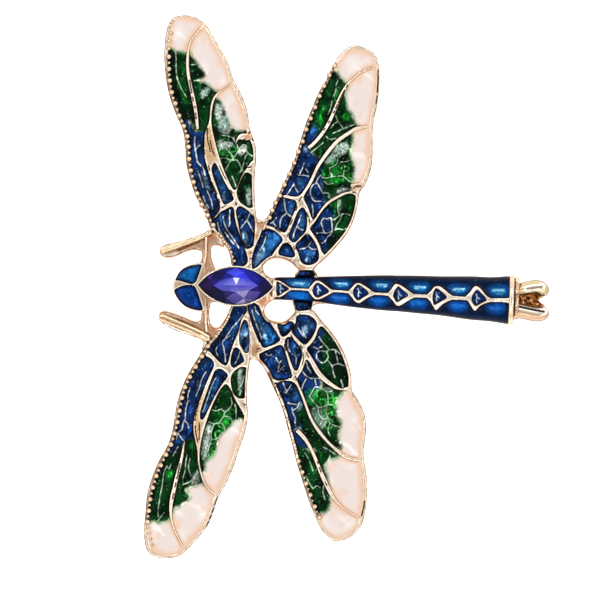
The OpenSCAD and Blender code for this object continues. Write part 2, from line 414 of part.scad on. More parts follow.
module side_body(side, edges, metal) {
  on_side(side, 0) difference() {
    linear_extrude(plate_t + wall_h) side_plan(edges, metal, side);
    translate([0, 0, plate_t]) linear_extrude(wall_h + 1) cell_sets_plan(side);
  }
}
module cell_sets_plan(side) {
  if (side > 0) {
    cells_plan(right_fore_cells, 1, right_fore_edge, [right_fore_vein, right_fore_boss]);
    cells_plan(right_hind_cells, 1, right_hind_edge, [right_hind_vein, right_hind_boss]);
    tab_plan(right_tab, 1, 0);
  } else {
    cells_plan(left_fore_cells, -1, left_fore_edge, [left_fore_vein, left_fore_boss]);
    cells_plan(left_hind_cells, -1, left_hind_edge, [left_hind_vein]);
    tab_plan(left_tab, -1, 0);
  }
}
module tab_plan(q, side, grow) { offset(delta = grow) polygon([for (p = smooth(q, 2)) lay(p, side)]); }

module head_metal() {
  placed() translate([0, 0, base_z]) linear_extrude(head_ridge) shape(head_edge, 3);
}
module eye_room() {
  placed() translate([0, 0, base_z + head_t]) linear_extrude(4) { shape(right_eye, 3); shape(left_eye, 3); }
}
module thorax_metal() {
  on_thorax(base_z) linear_extrude(cup_h) cup_plan(0);
}
module stone_room() {
  on_thorax(cup_z - pavilion_h - gap) linear_extrude(pavilion_h + 2) navette(stone_l + 2 * gap, stone_w + 2 * gap);
}
module tail_metal() {
  placed() {
    tail_form(tail_skin, 0.25);
    intersection() {
      translate([0, 0, base_z + 0.2]) linear_extrude(8) tail_walls_plan(0);
      tail_form(0, 0);
    }
    for (b = bands) band(b);
    lobe(right_lobe);
    lobe(left_lobe);
    translate([0, 0, base_z]) linear_extrude(0.55) shape(lobe_floor, 2);
  }
}

module casting() {
  color(gold) difference() {
    union() {
      difference() {
        side_body(1, [right_fore_edge, right_hind_edge], right_metal);
        tail_roof(0);
      }
      difference() {
        side_body(-1, [left_fore_edge, left_hind_edge], left_metal);
        tail_roof(0);
      }
      head_metal();
      thorax_metal();
      tail_metal();
    }
    stone_room();
    eye_room();
  }
}

module thorax_stone() {
  n = 24;
  r = (stone_l * stone_l / 4 + stone_w * stone_w / 4) / stone_w;
  a = asin(stone_l / 2 / r);
  rim = concat([for (i = [0:n / 2 - 1]) let (t = -a + 2 * a * i / (n / 2)) [r * sin(t), r * cos(t) - (r - stone_w / 2)]],
    [for (i = [0:n / 2 - 1]) let (t = a - 2 * a * i / (n / 2)) [r * sin(t), (r - stone_w / 2) - r * cos(t)]]);
  color(violet) on_thorax(cup_z) hull() {
    translate([0, 0, -0.1]) linear_extrude(0.14) polygon(rim);
    translate([0, 0, crown_h - 0.02]) linear_extrude(0.02) polygon([[-2.75, 0.1], [-0.35, 1.1], [0.45, 1.1], [2.95, 0.1], [1.85, -0.75], [-0.5, -0.75]]);
    translate([0, 0, crown_h * 0.55]) linear_extrude(0.02) polygon([for (p = rim) 0.72 * p]);
    translate([0, 0, -pavilion_h]) linear_extrude(0.02) square([3.2, 0.3], center = true);
  }
}

module fill(side, q, edge, lines) {
  on_side(side, plate_t + gap) linear_extrude(wall_h - enamel_low - gap) cell_plan(q, side, edge, lines, -gap);
}
module cup_plan(grow) { offset(delta = grow) navette(stone_l + 2.4 * cup_wall, stone_w + 2 * cup_wall); }
module clear_of_cup() {
  difference() {
    children();
    on_thorax(0) linear_extrude(12) cup_plan(gap);
  }
}
module tab_fill(side, q) {
  on_side(side, plate_t + gap) linear_extrude(wall_h - enamel_low - gap) tab_plan(q, side, -gap);
}
module eye(q) {
  c = at([for (k = [0, 1]) (min([for (p = q) p[k]]) + max([for (p = q) p[k]])) / 2]);
  color(blue) placed() intersection() {
    translate([0, 0, base_z + head_t + gap]) linear_extrude(4) offset(delta = -gap) shape(q, 3);
    translate([c[0], c[1], base_z + head_t + eye_h - eye_ball]) sphere(eye_ball);
  }
}
module tail_side(side) {
  line = [for (p = smooth_open(tail_line, 2)) at([p[0], p[1]])];
  e = at([262, 287.6]);
  f = at([520, 300.4]);
  color(blue) placed() difference() {
    intersection() {
      difference() { tail_form(0, 0); tail_form(tail_skin - gap, 1); }
      linear_extrude(20) polygon(concat([[e[0], e[1]]], line, [[f[0], f[1]], [f[0], f[1] + side * 6], [e[0], e[1] + side * 6]]));
    }
    linear_extrude(20) tail_solid_plan(gap);
    translate([mid_x, mid_y, 0]) difference() {
      joints(gap);
      tail_roof(gap);
    }
    translate([0, 0, -1]) linear_extrude(base_z + 1 + 0.02) square([90, 40], center = true);
    band_room();
  }
}
module band_room() {
  c = at([bands[0][0], bands[0][1]]);
  translate([c[0] - bands[0][3] * chart_mm / 2 - gap, c[1] - 6, 0]) cube([6, 12, 20]);
}
module tail_diamond(i) {
  color(blue) placed() intersection() {
    difference() { tail_form(0, 0); tail_form(tail_skin - gap, 1); }
    linear_extrude(20) kite(diamonds[i], -gap);
  }
}

module pin_back() {
  x0 = at([217, 286])[0];
  x1 = x0 + needle_l + 5.2;
  top = base_z - gap;
  color(gold) placed() union() {
    translate([x0, -strip_w / 2, top - strip_t]) cube([x1 - x0, strip_w, strip_t]);
    translate([x0, -strip_w / 2, needle_z - 0.75]) cube([2.2, strip_w, top - needle_z + 0.75 - 0.1]);
    translate([x0 + 1, 0, needle_z]) rotate([0, 90, 0]) rotate_extrude()
      polygon([[0, 0], [needle_r, 0], [needle_r, needle_l + 1.2], [0.08, needle_l + 1.2 + point_l], [0, needle_l + 1.2 + point_l]]);
    translate([x1 - catch_l - 0.3, 0, needle_z]) rotate([0, 90, 0]) difference() {
      cylinder(r = catch_r + catch_wall, h = catch_l);
      translate([0, 0, -1]) cylinder(r = catch_r, h = catch_l + 2);
      translate([-0.9, -4, -1]) cube([1.8, 4, catch_l + 2]);
    }
    translate([x1 - catch_l - 0.3, -0.7, needle_z + catch_r + 0.1]) cube([catch_l, 1.4, top - needle_z - catch_r - 0.2]);
  }
}

module right_fore(i) { color(i == 3 ? green : i == 1 ? blush : blue) fill(1, right_fore_cells[i][1], right_fore_edge, [right_fore_vein, right_fore_boss]); }
module left_fore(i) { color(i == 3 ? green : i == 1 ? blush : blue) fill(-1, left_fore_cells[i][1], left_fore_edge, [left_fore_vein, left_fore_boss]); }
module right_hind(i) { color(i == 2 ? green : i < 2 ? blush : blue) fill(1, right_hind_cells[i][1], right_hind_edge, [right_hind_vein, right_hind_boss]); }
module left_hind(i) { color(i == 2 ? green : i < 2 ? blush : blue) fill(-1, left_hind_cells[i][1], left_hind_edge, [left_hind_vein]); }

casting();
thorax_stone();
eye(right_eye);  // right_eye_enamel
eye(left_eye);  // left_eye_enamel
right_fore(0);  // right_fore_strip_enamel
right_fore(1);  // right_fore_fan_enamel
right_fore(2);  // right_fore_sliver_enamel
right_fore(3);  // right_fore_green_enamel
right_fore(4);  // right_fore_blue_enamel
clear_of_cup() right_fore(5);  // right_fore_root_enamel
left_fore(0);  // left_fore_strip_enamel
left_fore(1);  // left_fore_fan_enamel
left_fore(2);  // left_fore_sliver_enamel
left_fore(3);  // left_fore_green_enamel
left_fore(4);  // left_fore_blue_enamel
left_fore(5);  // left_fore_notch_enamel
clear_of_cup() left_fore(6);  // left_fore_root_enamel
right_hind(0);  // right_hind_strip_enamel
right_hind(1);  // right_hind_fan_enamel
right_hind(2);  // right_hind_green_enamel
right_hind(3);  // right_hind_lead_enamel
clear_of_cup() right_hind(4);  // right_hind_root_enamel
right_hind(5);  // right_hind_petal_enamel
right_hind(6);  // right_hind_drop_enamel
right_hind(7);  // right_hind_heel_enamel
left_hind(0);  // left_hind_strip_enamel
left_hind(1);  // left_hind_fan_enamel
left_hind(2);  // left_hind_green_enamel
left_hind(3);  // left_hind_lead_enamel
clear_of_cup() left_hind(4);  // left_hind_root_enamel
left_hind(5);  // left_hind_petal_enamel
left_hind(6);  // left_hind_drop_enamel
left_hind(7);  // left_hind_heel_enamel
color(blue) tab_fill(1, right_tab);  // right_tab_enamel
color(blue) tab_fill(-1, left_tab);  // left_tab_enamel
tail_side(1);  // right_tail_enamel
tail_side(-1);  // left_tail_enamel
tail_diamond(0);  // tail_diamond_1_enamel
tail_diamond(1);  // tail_diamond_2_enamel
tail_diamond(2);  // tail_diamond_3_enamel
tail_diamond(3);  // tail_diamond_4_enamel
tail_diamond(4);  // tail_diamond_5_enamel
tail_diamond(5);  // tail_diamond_6_enamel
pin_back();
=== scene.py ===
# Dragonfly brooch: the looks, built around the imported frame. The charts are in chart steps (across, down)
# as in the part's source, lengths are in millimetres until a mesh is made, and a mesh is in metres.
import math
import bpy
import numpy as np
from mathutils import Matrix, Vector
from mathutils.geometry import tessellate_polygon

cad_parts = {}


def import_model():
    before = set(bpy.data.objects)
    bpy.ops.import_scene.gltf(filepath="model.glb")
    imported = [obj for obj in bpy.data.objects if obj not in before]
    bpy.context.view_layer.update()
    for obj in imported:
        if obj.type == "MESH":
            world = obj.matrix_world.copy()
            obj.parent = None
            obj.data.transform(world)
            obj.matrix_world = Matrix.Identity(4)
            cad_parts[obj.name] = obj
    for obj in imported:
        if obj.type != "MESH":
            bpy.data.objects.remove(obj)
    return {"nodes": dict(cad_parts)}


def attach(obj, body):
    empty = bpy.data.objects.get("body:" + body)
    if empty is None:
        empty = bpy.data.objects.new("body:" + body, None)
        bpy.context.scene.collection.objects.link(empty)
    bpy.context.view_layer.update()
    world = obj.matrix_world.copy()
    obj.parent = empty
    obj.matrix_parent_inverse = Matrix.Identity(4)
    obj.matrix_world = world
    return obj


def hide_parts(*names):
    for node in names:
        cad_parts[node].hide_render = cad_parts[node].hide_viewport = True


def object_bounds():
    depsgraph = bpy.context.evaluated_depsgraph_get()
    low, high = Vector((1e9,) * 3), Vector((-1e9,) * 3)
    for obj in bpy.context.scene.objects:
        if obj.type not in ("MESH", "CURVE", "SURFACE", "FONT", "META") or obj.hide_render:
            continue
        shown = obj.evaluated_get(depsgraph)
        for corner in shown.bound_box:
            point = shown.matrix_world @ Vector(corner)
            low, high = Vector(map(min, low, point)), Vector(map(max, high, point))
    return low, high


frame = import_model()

CAD_BOX = [[float(c) for c in corner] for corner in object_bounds()]

MM = 0.13
TURN = math.radians(2.4)
DROOP = math.radians(8)
PLATE_T, WALL_H, GAP = 0.9, 0.6, 0.03
TOP = PLATE_T + WALL_H
CUP_H, CROWN_H, PAVILION_H = 2.5, 0.95, 1.9
STONE_L, STONE_W, CUP_WALL, STONE_TURN = 9.6, 4.76, 0.26, math.radians(0.8)
TAIL_SKIN, TAIL_RISE, TAIL_EDGE, LOBE_H = 0.36, 0.86, 0.5, 2.1
HEAD_T, HEAD_RIDGE, EYE_BALL, EYE_H = 0.9, 1.9, 3.4, 1.75

# ---- outlines, cells and plain metal, as charted for the part ----
RIGHT_FORE_EDGE = [[234,268,2],[229,251,3],[220,238,3.6],[211,229,4.6],[205,212,5],[196,196,5],[190,179,5],
  [186,162,4.8],[185,146,4.8],[182.5,129,4.6],[174.5,110.5,4.4],[168.3,91,4.2],[164.8,69,4.2],[164.2,48,4],
  [167,27,4],[173,17.5,3.8],[184,14.7,3.4],[196,17,3.4],[207,25.5,3.8],[217,42.5,4.4],[227.5,61,4.8],
  [233,77.5,5],[241.5,94,5.4],[247.5,111,5.2],[250,128,4.8],[255.5,145,3.8],[256.3,158,3.6],[254.6,178,3.2],
  [255,204,3],[257,222,2.6],[256,242,2.6],[253,258,2],[254,272,2]]
LEFT_FORE_EDGE = [[236,301,2],[230,309,2.6],[225.5,319,3.6],[216,333,3.6],[206,345,4],[199.5,356,4.6],[190.5,370,4.6],
  [183.5,384,5],[177.5,401,5],[174.5,417,4.6],[172,432,4.6],[167,447,4],[158.5,462,4.4],[151.5,479,4.6],
  [147,495,4.8],[145,515,4.8],[143.8,533,5],[146,549,5.4],[154,557,5],[166,559,4.4],[178,557,4],
  [188,549.5,4.4],[198,538.5,4.8],[207,527,5],[213.5,513,5],[218,498.5,5],[226.5,483.5,5],[233.5,467.5,5],
  [239,450,5],[245,433,4.6],[247.8,416,4],[246.8,396,2.6],[248,376,3],[250.3,358,3],[251.8,340,2.6],
  [249.5,322,2.4],[247,304,2]]
RIGHT_HIND_EDGE = [[252,270,1.5],[251,258,1.5],[254,247,1.5],[258.5,237,1.5],[261,229,2],[264,222,3],[268,215.5,3.4],
  [273,206,4],[277.5,196,4.4],[283,184,4.4],[289,171.5,4.4],[294.5,158.5,4.2],[298.5,146,4],[302.5,133,4],
  [307,119.5,4.6],[312.5,106.5,4.8],[317.8,93.5,5],[326,79.5,4.6],[332.5,66,4.6],[340.5,53.5,4.6],[350,46,4.8],
  [357,44.8,4.6],[367,48.5,4.4],[375.5,54.5,4.4],[379.3,66,4.4],[379.6,84,4.6],[377.5,104,5],[374,120,5],
  [372.8,134,4.6],[373,150,4.6],[371.5,167,4.8],[366,183,5.4],[360,192,4.4],[357.8,204,3],[354,219,3],
  [347,233,3],[336,246.5,3],[325,258,3],[316,266,3],[312,271,3],[305,272,3],[298,268,3],[290,261,2.6],
  [280,257.3,2.6],[270,258.5,2.6],[263.5,264.5,2.6],[258,270,2]]
LEFT_HIND_EDGE = [[247,304,1.5],[249,318,1.5],[253,331,1.8],[257.5,343,2],[256.5,352,3],[258,360.5,3],[265,370,3.6],
  [271,383,4],[278.5,399,4.2],[283.5,413,4.2],[288,430,4.2],[292.5,446,4.4],[296,461,4.6],[301.5,479,5],
  [307.5,498,5],[314,515,5],[321,529.5,5],[328.5,538,4.8],[336,542,4.6],[346.5,539.5,4.6],[356.5,533,4.8],
  [363,522,5],[366,508,5],[367.5,490,5],[366.3,474,5],[363.8,458,4.6],[364.6,444,4.4],[366.4,428,4.6],
  [364,413,4.6],[358,400.5,4.6],[352,390.5,4],[351.3,377,3.4],[347.5,362,3.4],[341,347,3.2],[332,333.5,3],
  [322,322,3],[315.5,313.5,3],[311,310.5,3],[304,310.5,3],[297,311,3],[293,315,2.6],[288,320,1.6],[282,323,1.4],
  [275,322.5,1.6],[268,319.8,2.4],[264,313.5,2.6],[262.5,307,2.4],[258,301,2]]
RIGHT_FORE_VEIN = [[208,22,4],[203,26.5,4],[196,33,2.8],[190.8,41,3.2],[188.2,50,3.6],[187.4,62,4],[188.1,73,4.2],
  [190.3,85,4.4],[193,97,4.6],[195.4,109,4.4],[196.8,120,4.2],[197.6,129.5,3.8]]
LEFT_FORE_VEIN = [[184.5,441,2],[183.4,448,2.8],[182.2,455,3.6],[180.8,462,4],[178.5,470,4.4],[176.3,479,4.6],
  [174.3,488,4.8],[172.2,497,5],[170.8,506,4.5],[170.7,515,3.6],[172,523,3.2],[174.8,531,3],[178.5,539,2.8],
  [183,547,3],[188,553,3]]
RIGHT_HIND_VEIN = [[384,64,3],[371,67.8,2.8],[363,71.3,2.8],[355.5,76.3,3],[349.5,81.8,3.2],[344.8,88,3.8],
  [341,95,4.2],[337.8,102.5,4.4],[334.6,110,4.4],[331.3,117.5,4.4],[327.8,124.5,4.4],[323.8,131,4.4],
  [319.5,137,4.4],[315,142,4.4],[310.8,146,4.4],[307.8,148,4.4]]
LEFT_HIND_VEIN = [[296.5,430,5],[300,433.5,5],[304.5,438.5,4.8],[308.2,444,4.4],[311.6,450.5,4.2],[314.8,457.5,4.4],
  [317.6,464.5,4.6],[320.8,472.5,5],[324.2,480,5.2],[328.3,488.5,5.2],[332,495.5,5],[336.8,502,4],[343,508,3],
  [350,513,3],[358,517,3],[366,521,3]]
RIGHT_FORE_BOSS = [[256,133,8],[247,136.5,8],[241.5,136.5,7],[237.5,139,3],[236.3,143,2]]
LEFT_FORE_BOSS = [[252,405,12],[246.5,405,12],[243,408,6]]
RIGHT_HIND_BOSS = [[364,186,10],[355,186,7],[350.3,184.3,3]]
RIGHT_FORE_CELLS = [
  ["strip", [[160,12],[158,45],[160,72],[164,93],[170,112],[179,131],[181,147],[182,164],[186,182],[192,198],
    [201,214],[208,221],[212.8,217.6],[218.3,211],[219.3,206],[217,198.5],[213.2,188.5],[209.4,178],[206.5,168.5],
    [204.4,160],[203,150],[203,140],[205.2,130],[208.3,121],[209.1,112],[210.3,103],[213.5,95.5],[219,90],
    [226,85.5],[233,78],[236,70],[222,35],[205,10],[185,5]]],
  ["fan", [[238,80],[229,87],[222,92],[216.6,97.5],[214,104],[212.6,112],[212.2,121],[213.2,130],[215.6,140],
    [218.2,150],[221.2,160],[224.8,170],[229.2,180],[233,187.5],[235.6,188.5],[238.3,182.5],[240.6,176.5],
    [243.5,171.5],[247,166.5],[250.3,161.5],[255,158],[262,150],[260,138],[255,120],[250,100],[245,84]]],
  ["sliver", [[214.6,163.5],[217.5,168.5],[221,176],[225,184],[229.5,191.5],[232.8,198],[231.5,200.5],[226,203.4],
    [223.4,202],[219,190],[216,182],[213.6,175],[212.4,168.5]]],
  ["green", [[238.6,197.5],[237.6,192],[238.8,187.5],[241,181.5],[243.3,176.5],[246,173.2],[249.5,174],[252.5,177],
    [258,180],[258,203],[252,206.5],[249,207],[245,204.6],[240.8,201.5]]],
  ["blue", [[237.2,209.5],[239.5,206.8],[243.5,208.4],[248.5,212],[252,215.5],[258,220],[260,235],[256,243],
    [251.3,246.5],[246.8,248],[244,243.5],[241.6,236],[240,228.5],[238.4,220],[237,213.5]]],
  ["root", [[212,221],[216.5,217.5],[220.5,213],[226,210],[231,207.4],[233.3,209.5],[233.8,216],[235.3,223.5],
    [238,232],[241,240],[243.6,247.5],[246,254.5],[247,260],[245.6,263.8],[242,265.6],[236,266],[230,262],[222,250],
    [214,240],[208,230]]]]
LEFT_FORE_CELLS = [
  ["strip", [[196,352],[184,368],[175,388],[169,410],[164,434],[152,461],[143,480],[138,505],[137,540],[148,565],
    [168,566],[188,560],[208,537],[217,514],[222,497],[215,496],[208.5,492],[204.5,487],[201.6,481],[199,472],
    [197,461],[196.5,451],[194.5,441],[192.8,432],[192.6,424],[193.8,416],[195.8,408],[198.8,399],[202.6,390],
    [206.4,381],[209.5,374],[212.6,367.5],[213,363.5],[210.5,359.5],[206,357]]],
  ["fan", [[226.3,385.2],[223,387.5],[219.8,392],[215.8,400],[212,408.5],[208.6,418],[205.6,427],[203,437],
    [201,447],[200.2,456],[200.6,464],[202.4,472],[205,479.5],[208.5,486],[213,490.5],[219,493],[230,494],
    [242,470],[250,445],[253,425],[248,418.5],[243.5,416],[240.4,410],[237,404.5],[233.5,398],[230.5,391]]],
  ["sliver", [[215.5,371.5],[219.5,369.6],[223.5,371.6],[226.8,375],[226,378],[222.8,382],[218.8,388],[214.6,395],
    [211,402],[207.6,409],[204.6,415.5],[202.4,419],[200.8,417.5],[201.4,411],[203.6,403.5],[206.6,395],
    [209.6,386.5],[212.8,378]]],
  ["green", [[232.2,376],[234.8,372],[238,369.5],[241.5,367.8],[246,368.5],[252,372],[252,392],[246,396.5],
    [240.5,398],[236.3,395.8],[233.5,391.5],[232,385.5],[231.5,380.5]]],
  ["blue", [[234.5,349.3],[237,348.6],[239.3,351],[241.5,355.5],[243.3,360.5],[240.5,363],[237.5,365],[234.3,367],
    [232.2,366],[231.3,362.5],[232,356.5]]],
  ["notch", [[244.6,320.5],[247.8,325],[249,332],[249,340],[248.6,347],[247.4,352],[245,351.8],[242.8,348],
    [240.6,344],[240,338.5],[240.4,333],[241.6,327]]],
  ["root", [[226,306.5],[246,307],[246,311],[243.8,314.5],[241,319],[239.4,325],[237.9,331],[235.3,337.5],[233,342.5],
    [231,348],[229.6,353.5],[228,360],[226.3,364.3],[223.5,364],[220,361.5],[215.5,357],[211.3,352.3],[206,348],
    [200,344],[214,325],[224,311]]]]
RIGHT_HIND_CELLS = [
  ["strip", [[279,197],[276,190],[284,170],[292,148],[298,126],[306,104],[316,82],[328,60],[342,42],[358,38],
    [376,46],[386,64],[386,90],[382,112],[378,123],[366,124.5],[355,126.3],[349,130],[343,133.6],[337,138],
    [331.5,143.6],[326,150.3],[321,157.3],[317,163.3],[313.8,169.5],[311,176],[308,182],[304.6,187.6],[301,193],
    [297,195.5],[291,195.2],[285,194]]],
  ["fan", [[378,128],[366,129],[357,131.5],[350.5,135],[345,138.5],[339.5,142.7],[334.5,148],[329.5,154],[325,160],
    [321.3,165.3],[318.3,170.7],[315.7,176.6],[313,182.3],[310,187.5],[306.8,192.4],[304.4,197.5],[306.3,202],
    [309,207.5],[311,213.5],[312.8,218],[314.7,217],[317.8,212.2],[321.6,206.8],[326,202],[331,198.3],[337,195],
    [343.5,191.7],[350,190.4],[354,189],[358,190],[370,185],[378,165]]],
  ["green", [[311,229],[311.8,226.5],[314.6,223.5],[317.5,219.3],[321,213.8],[325.3,208.3],[330,203.8],[335.5,200.3],
    [341,197.3],[346.5,194.8],[351,194],[354.5,196],[362,202],[360,216],[350,236],[336,250],[329,254.5],[325,254],
    [322.3,250.5],[320.3,244.5],[317.3,238.7],[313.8,233.3]]],
  ["lead", [[266,221],[268,224.5],[273,226.2],[279,229],[283.5,231.5],[286,230],[288,225.5],[290,220.5],
    [292.2,214.5],[295,208],[296,203.8],[294.3,200.8],[290,199.6],[285.8,198.6],[280,197.5],[272,200],[266,212]]],
  ["root", [[250,268],[249,256],[253,245],[257.5,236],[262,231.5],[266,229.3],[270.5,229.8],[276,232.6],
    [281.6,238.6],[281,241.5],[277,246.5],[273.3,251.8],[270,256.5],[265.5,258.6],[261,262],[257,266],[253,268]]],
  ["petal", [[302,208.3],[304,209.3],[305.5,213],[306.2,219],[306,226],[304.6,231.5],[300.5,235.8],[297,239.5],
    [294.6,241.5],[291.8,240.6],[289.6,237.6],[290.2,233],[292.8,226.5],[295.4,219.5],[298.4,212.5]]],
  ["drop", [[279.2,252],[280.8,248],[283.2,244.6],[286.5,243.3],[290,245.6],[292.8,250.3],[294.3,254.5],
    [292.5,256.6],[288.5,256.3],[283.5,255.3],[280.3,254.6]]],
  ["heel", [[296.3,247.5],[297,243.8],[300.3,240.6],[304,236.6],[307,234.3],[310,236.3],[313.6,241.3],[316.4,247],
    [318,253],[318,258],[315.3,262],[310.5,264],[305,263.6],[301.6,261],[300,256],[298.6,251.4]]]]
LEFT_HIND_CELLS = [
  ["strip", [[270,382],[276,402],[284,430],[290,455],[300,488],[310,518],[322,538],[336,549],[356,542],[370,522],
    [374,500],[374,470],[370,461],[360,462.5],[351,461.5],[344,458.8],[338.5,455],[332,449],[323,440],[315.3,430.5],
    [309.3,420],[305.5,410.5],[302,400.5],[298,390.5],[295.6,385.5],[292,382.4],[286,381.6],[281,382.2],
    [276.5,383.8]]],
  ["fan", [[298,379.5],[299.5,376],[303,370.5],[305.3,364],[306.7,360.5],[309.4,363.5],[312,368.5],[315.3,374],
    [319,378.5],[324,383],[330,387],[336,390],[343,391.2],[350,391.5],[358,394],[368,408],[374,430],[372,454],
    [362,457],[351,456],[345,453.3],[340.6,450],[336,446.8],[328.4,439.6],[320.6,429.6],[313.8,419.6],
    [309.6,409.6],[306,399.8],[302,389.8],[299.3,384]]],
  ["green", [[307.6,349.2],[310.5,345.6],[314,341.5],[316.8,336.5],[318.6,331],[320.5,327.6],[323.5,327.5],
    [330,326],[342,340],[352,360],[356,378],[352,386],[347,386.6],[342,388],[336,384.8],[330,380.3],[324,374.7],
    [319,368.2],[315,361.2],[311,354.8]]],
  ["lead", [[263.8,352.6],[268,350.8],[273.5,348.3],[279,346],[282.2,346.8],[284.2,351.5],[286.2,358],
    [288.3,365.5],[290.8,373.5],[291,377],[287,378.8],[281,379.8],[276.5,379.5],[268,374],[258,358]]],
  ["root", [[246,303],[256.5,305],[259.3,309],[261.2,314],[263.5,318.5],[268.3,321.5],[270.8,325],[274.3,330.5],
    [278,336.5],[279.3,339.6],[276.5,342.3],[271,345],[266,346.8],[262.8,346.6],[260.5,342],[252,338],[246,322]]],
  ["petal", [[287.3,338.3],[291,338],[294.3,341.3],[298.3,346],[301,350.5],[301.2,356.5],[299.4,363],[297.5,368.3],
    [296,370],[294,368],[291.5,361.8],[289,354.5],[286.6,348],[285.6,342]]],
  ["drop", [[278,324],[281,325.3],[285,325],[288.5,322.6],[291.5,322.4],[293.3,324.3],[291.8,328],[289,331.8],
    [286,334.8],[283,336],[281,334],[279.3,329.5]]],
  ["heel", [[297.3,317],[302,315.5],[308,316],[313,319],[315.9,323.5],[315,329.5],[312,336],[308.3,341],
    [305,343.9],[302,342.3],[298,338.3],[294,334],[292.5,330.5],[294.2,326.8],[296.6,322]]]]
RIGHT_METAL = [
  ["leg", [[159.8,250.5],[161.3,246.6],[167,244],[178,241.3],[190,238.4],[203,233.8],[209.5,230.5],[215,233],
    [222,239],[224,246],[218,244.6],[213,244.6],[210.6,247.5],[206,252],[201.5,250.5],[197.5,249.2],[190,249.6],
    [183,252.2],[176,255.3],[169,257],[163.5,256.2],[160.6,253.6]]],
  ["bar", [[202,238],[202,248],[202,256],[200.8,262.5],[199,268],[203,278],[213,276],[216,271.5],[214.2,266],
    [211.6,258],[211,251],[212,246],[216,241],[209,235]]],
  ["web", [[254.5,219.5],[258,219],[262.5,220.3],[268,217.5],[272,222],[266,240],[262,258],[263.2,268],
    [264.6,272.8],[268,276],[272,277.5],[280,279],[280,284],[262,287],[240,276],[234,268],[240,262],[246,250],
    [252,236]]],
  ["tab", [[291,284],[290,279.2],[293.6,277],[297.3,274],[299.8,271],[299.6,266.5],[313.6,266.5],[313.4,270],
    [315.8,274.4],[319,277],[318,284]]]]
LEFT_METAL = [
  ["leg", [[158.3,317.8],[159.8,313.4],[164.5,311.6],[172,313.6],[182,317.2],[190,320.6],[196,322.4],[200.5,321],
    [205,318],[210,324],[214,328.4],[219,328],[224,325],[220,334],[209,346],[202,350],[203.6,343.6],[200.5,339.5],
    [190,335.8],[178,331.8],[168,327],[161,322.3]]],
  ["bar", [[199,294],[201,304],[201.6,311],[201.2,322],[203,332],[212,333],[210.4,325],[209.4,318],[209.4,311],
    [210.3,306],[212.5,302.5],[224,303.2],[222,298]]],
  ["web", [[246,306],[249,322],[250,345],[249.3,359.5],[253.5,359],[258.5,361],[263,356],[262,346],[266,330],
    [266,319],[264.2,312],[266.2,305.6],[272.5,300.9],[281,299.6],[280,292],[262,290],[244,298]]],
  ["tab", [[290,292],[291,299.8],[293.2,302.5],[295.2,307],[296.2,313],[311,313],[310.8,309],[313,306.4],
    [318.6,304.4],[326,303.5],[324,292]]]]
RIGHT_TAB = [[300.2,270.8],[302,270.5],[311,270.5],[312.6,271],[313.6,272.6],[314.6,274.6],[306,275.4],[297.4,275.2],[299,273]]
LEFT_TAB = [[295,302.6],[302,302.3],[309.4,303.2],[310,306],[309,309.4],[303,310.4],[297.4,310.6],[296.2,306.5]]
HEAD_EDGE = [[173.2,286.7],[174,283],[175.3,279.4],[179,272.4],[184,268],[190,265.2],[197,263.2],[202.5,262.2],
  [206,268],[205,277],[204,284],[204.6,292],[207,300],[205,310.6],[201,311],[194,310],[186,307],[179.2,301],
  [175.3,295],[173.8,290.8]]
RIGHT_EYE = [[176.2,279.8],[177.6,276],[180.5,271.8],[184.5,269],[190,266.6],[196,265.5],[201.2,265.2],[199.5,271],
  [197.3,277],[195.3,281.5],[192.5,283.4],[188,282.6],[182,280.7],[178,280]]
LEFT_EYE = [[175.2,290.5],[178,288.2],[183.5,286.2],[189,285.4],[193.5,286.2],[196.3,290.5],[198.6,297],[200.8,303.5],
  [202.2,309.4],[196,309.1],[189,307.1],[184,304.4],[179.6,299.5],[176.6,295]]
TAIL_ROWS = [[273,277,299.6],[290,277,300.4],[318,276.5,302.6],[352,275.6,307.2],[382,275,310.5],[400,275.2,311.8],
  [420,275.4,313.8],[441,276,315.8],[471,276,320],[490,276.8,321.6],[509,275.6,324.6]]
RIGHT_LOBE = [[512,285.6],[516.5,284.4],[522,282.3],[529,280.5],[536,279.6],[542,280.9],[546.4,283.8],[549,288.2],
  [548.8,292.4],[546,296],[541,296.4],[536,294],[529,294.6],[521,296],[512,297.5]]
LEFT_LOBE = [[511,300.8],[519,302.6],[528,304.6],[536,306],[543,305.6],[547,308.2],[549.2,312.2],[548.6,316.4],
  [545.4,319.8],[540,321.7],[533,321.5],[526,320],[519,318.7],[511,318.8]]
LOBE_FLOOR = [[511,292],[530,292],[541,294],[545.4,296.2],[538.8,300.3],[545,305.8],[541,309],[530,308],[511,306]]

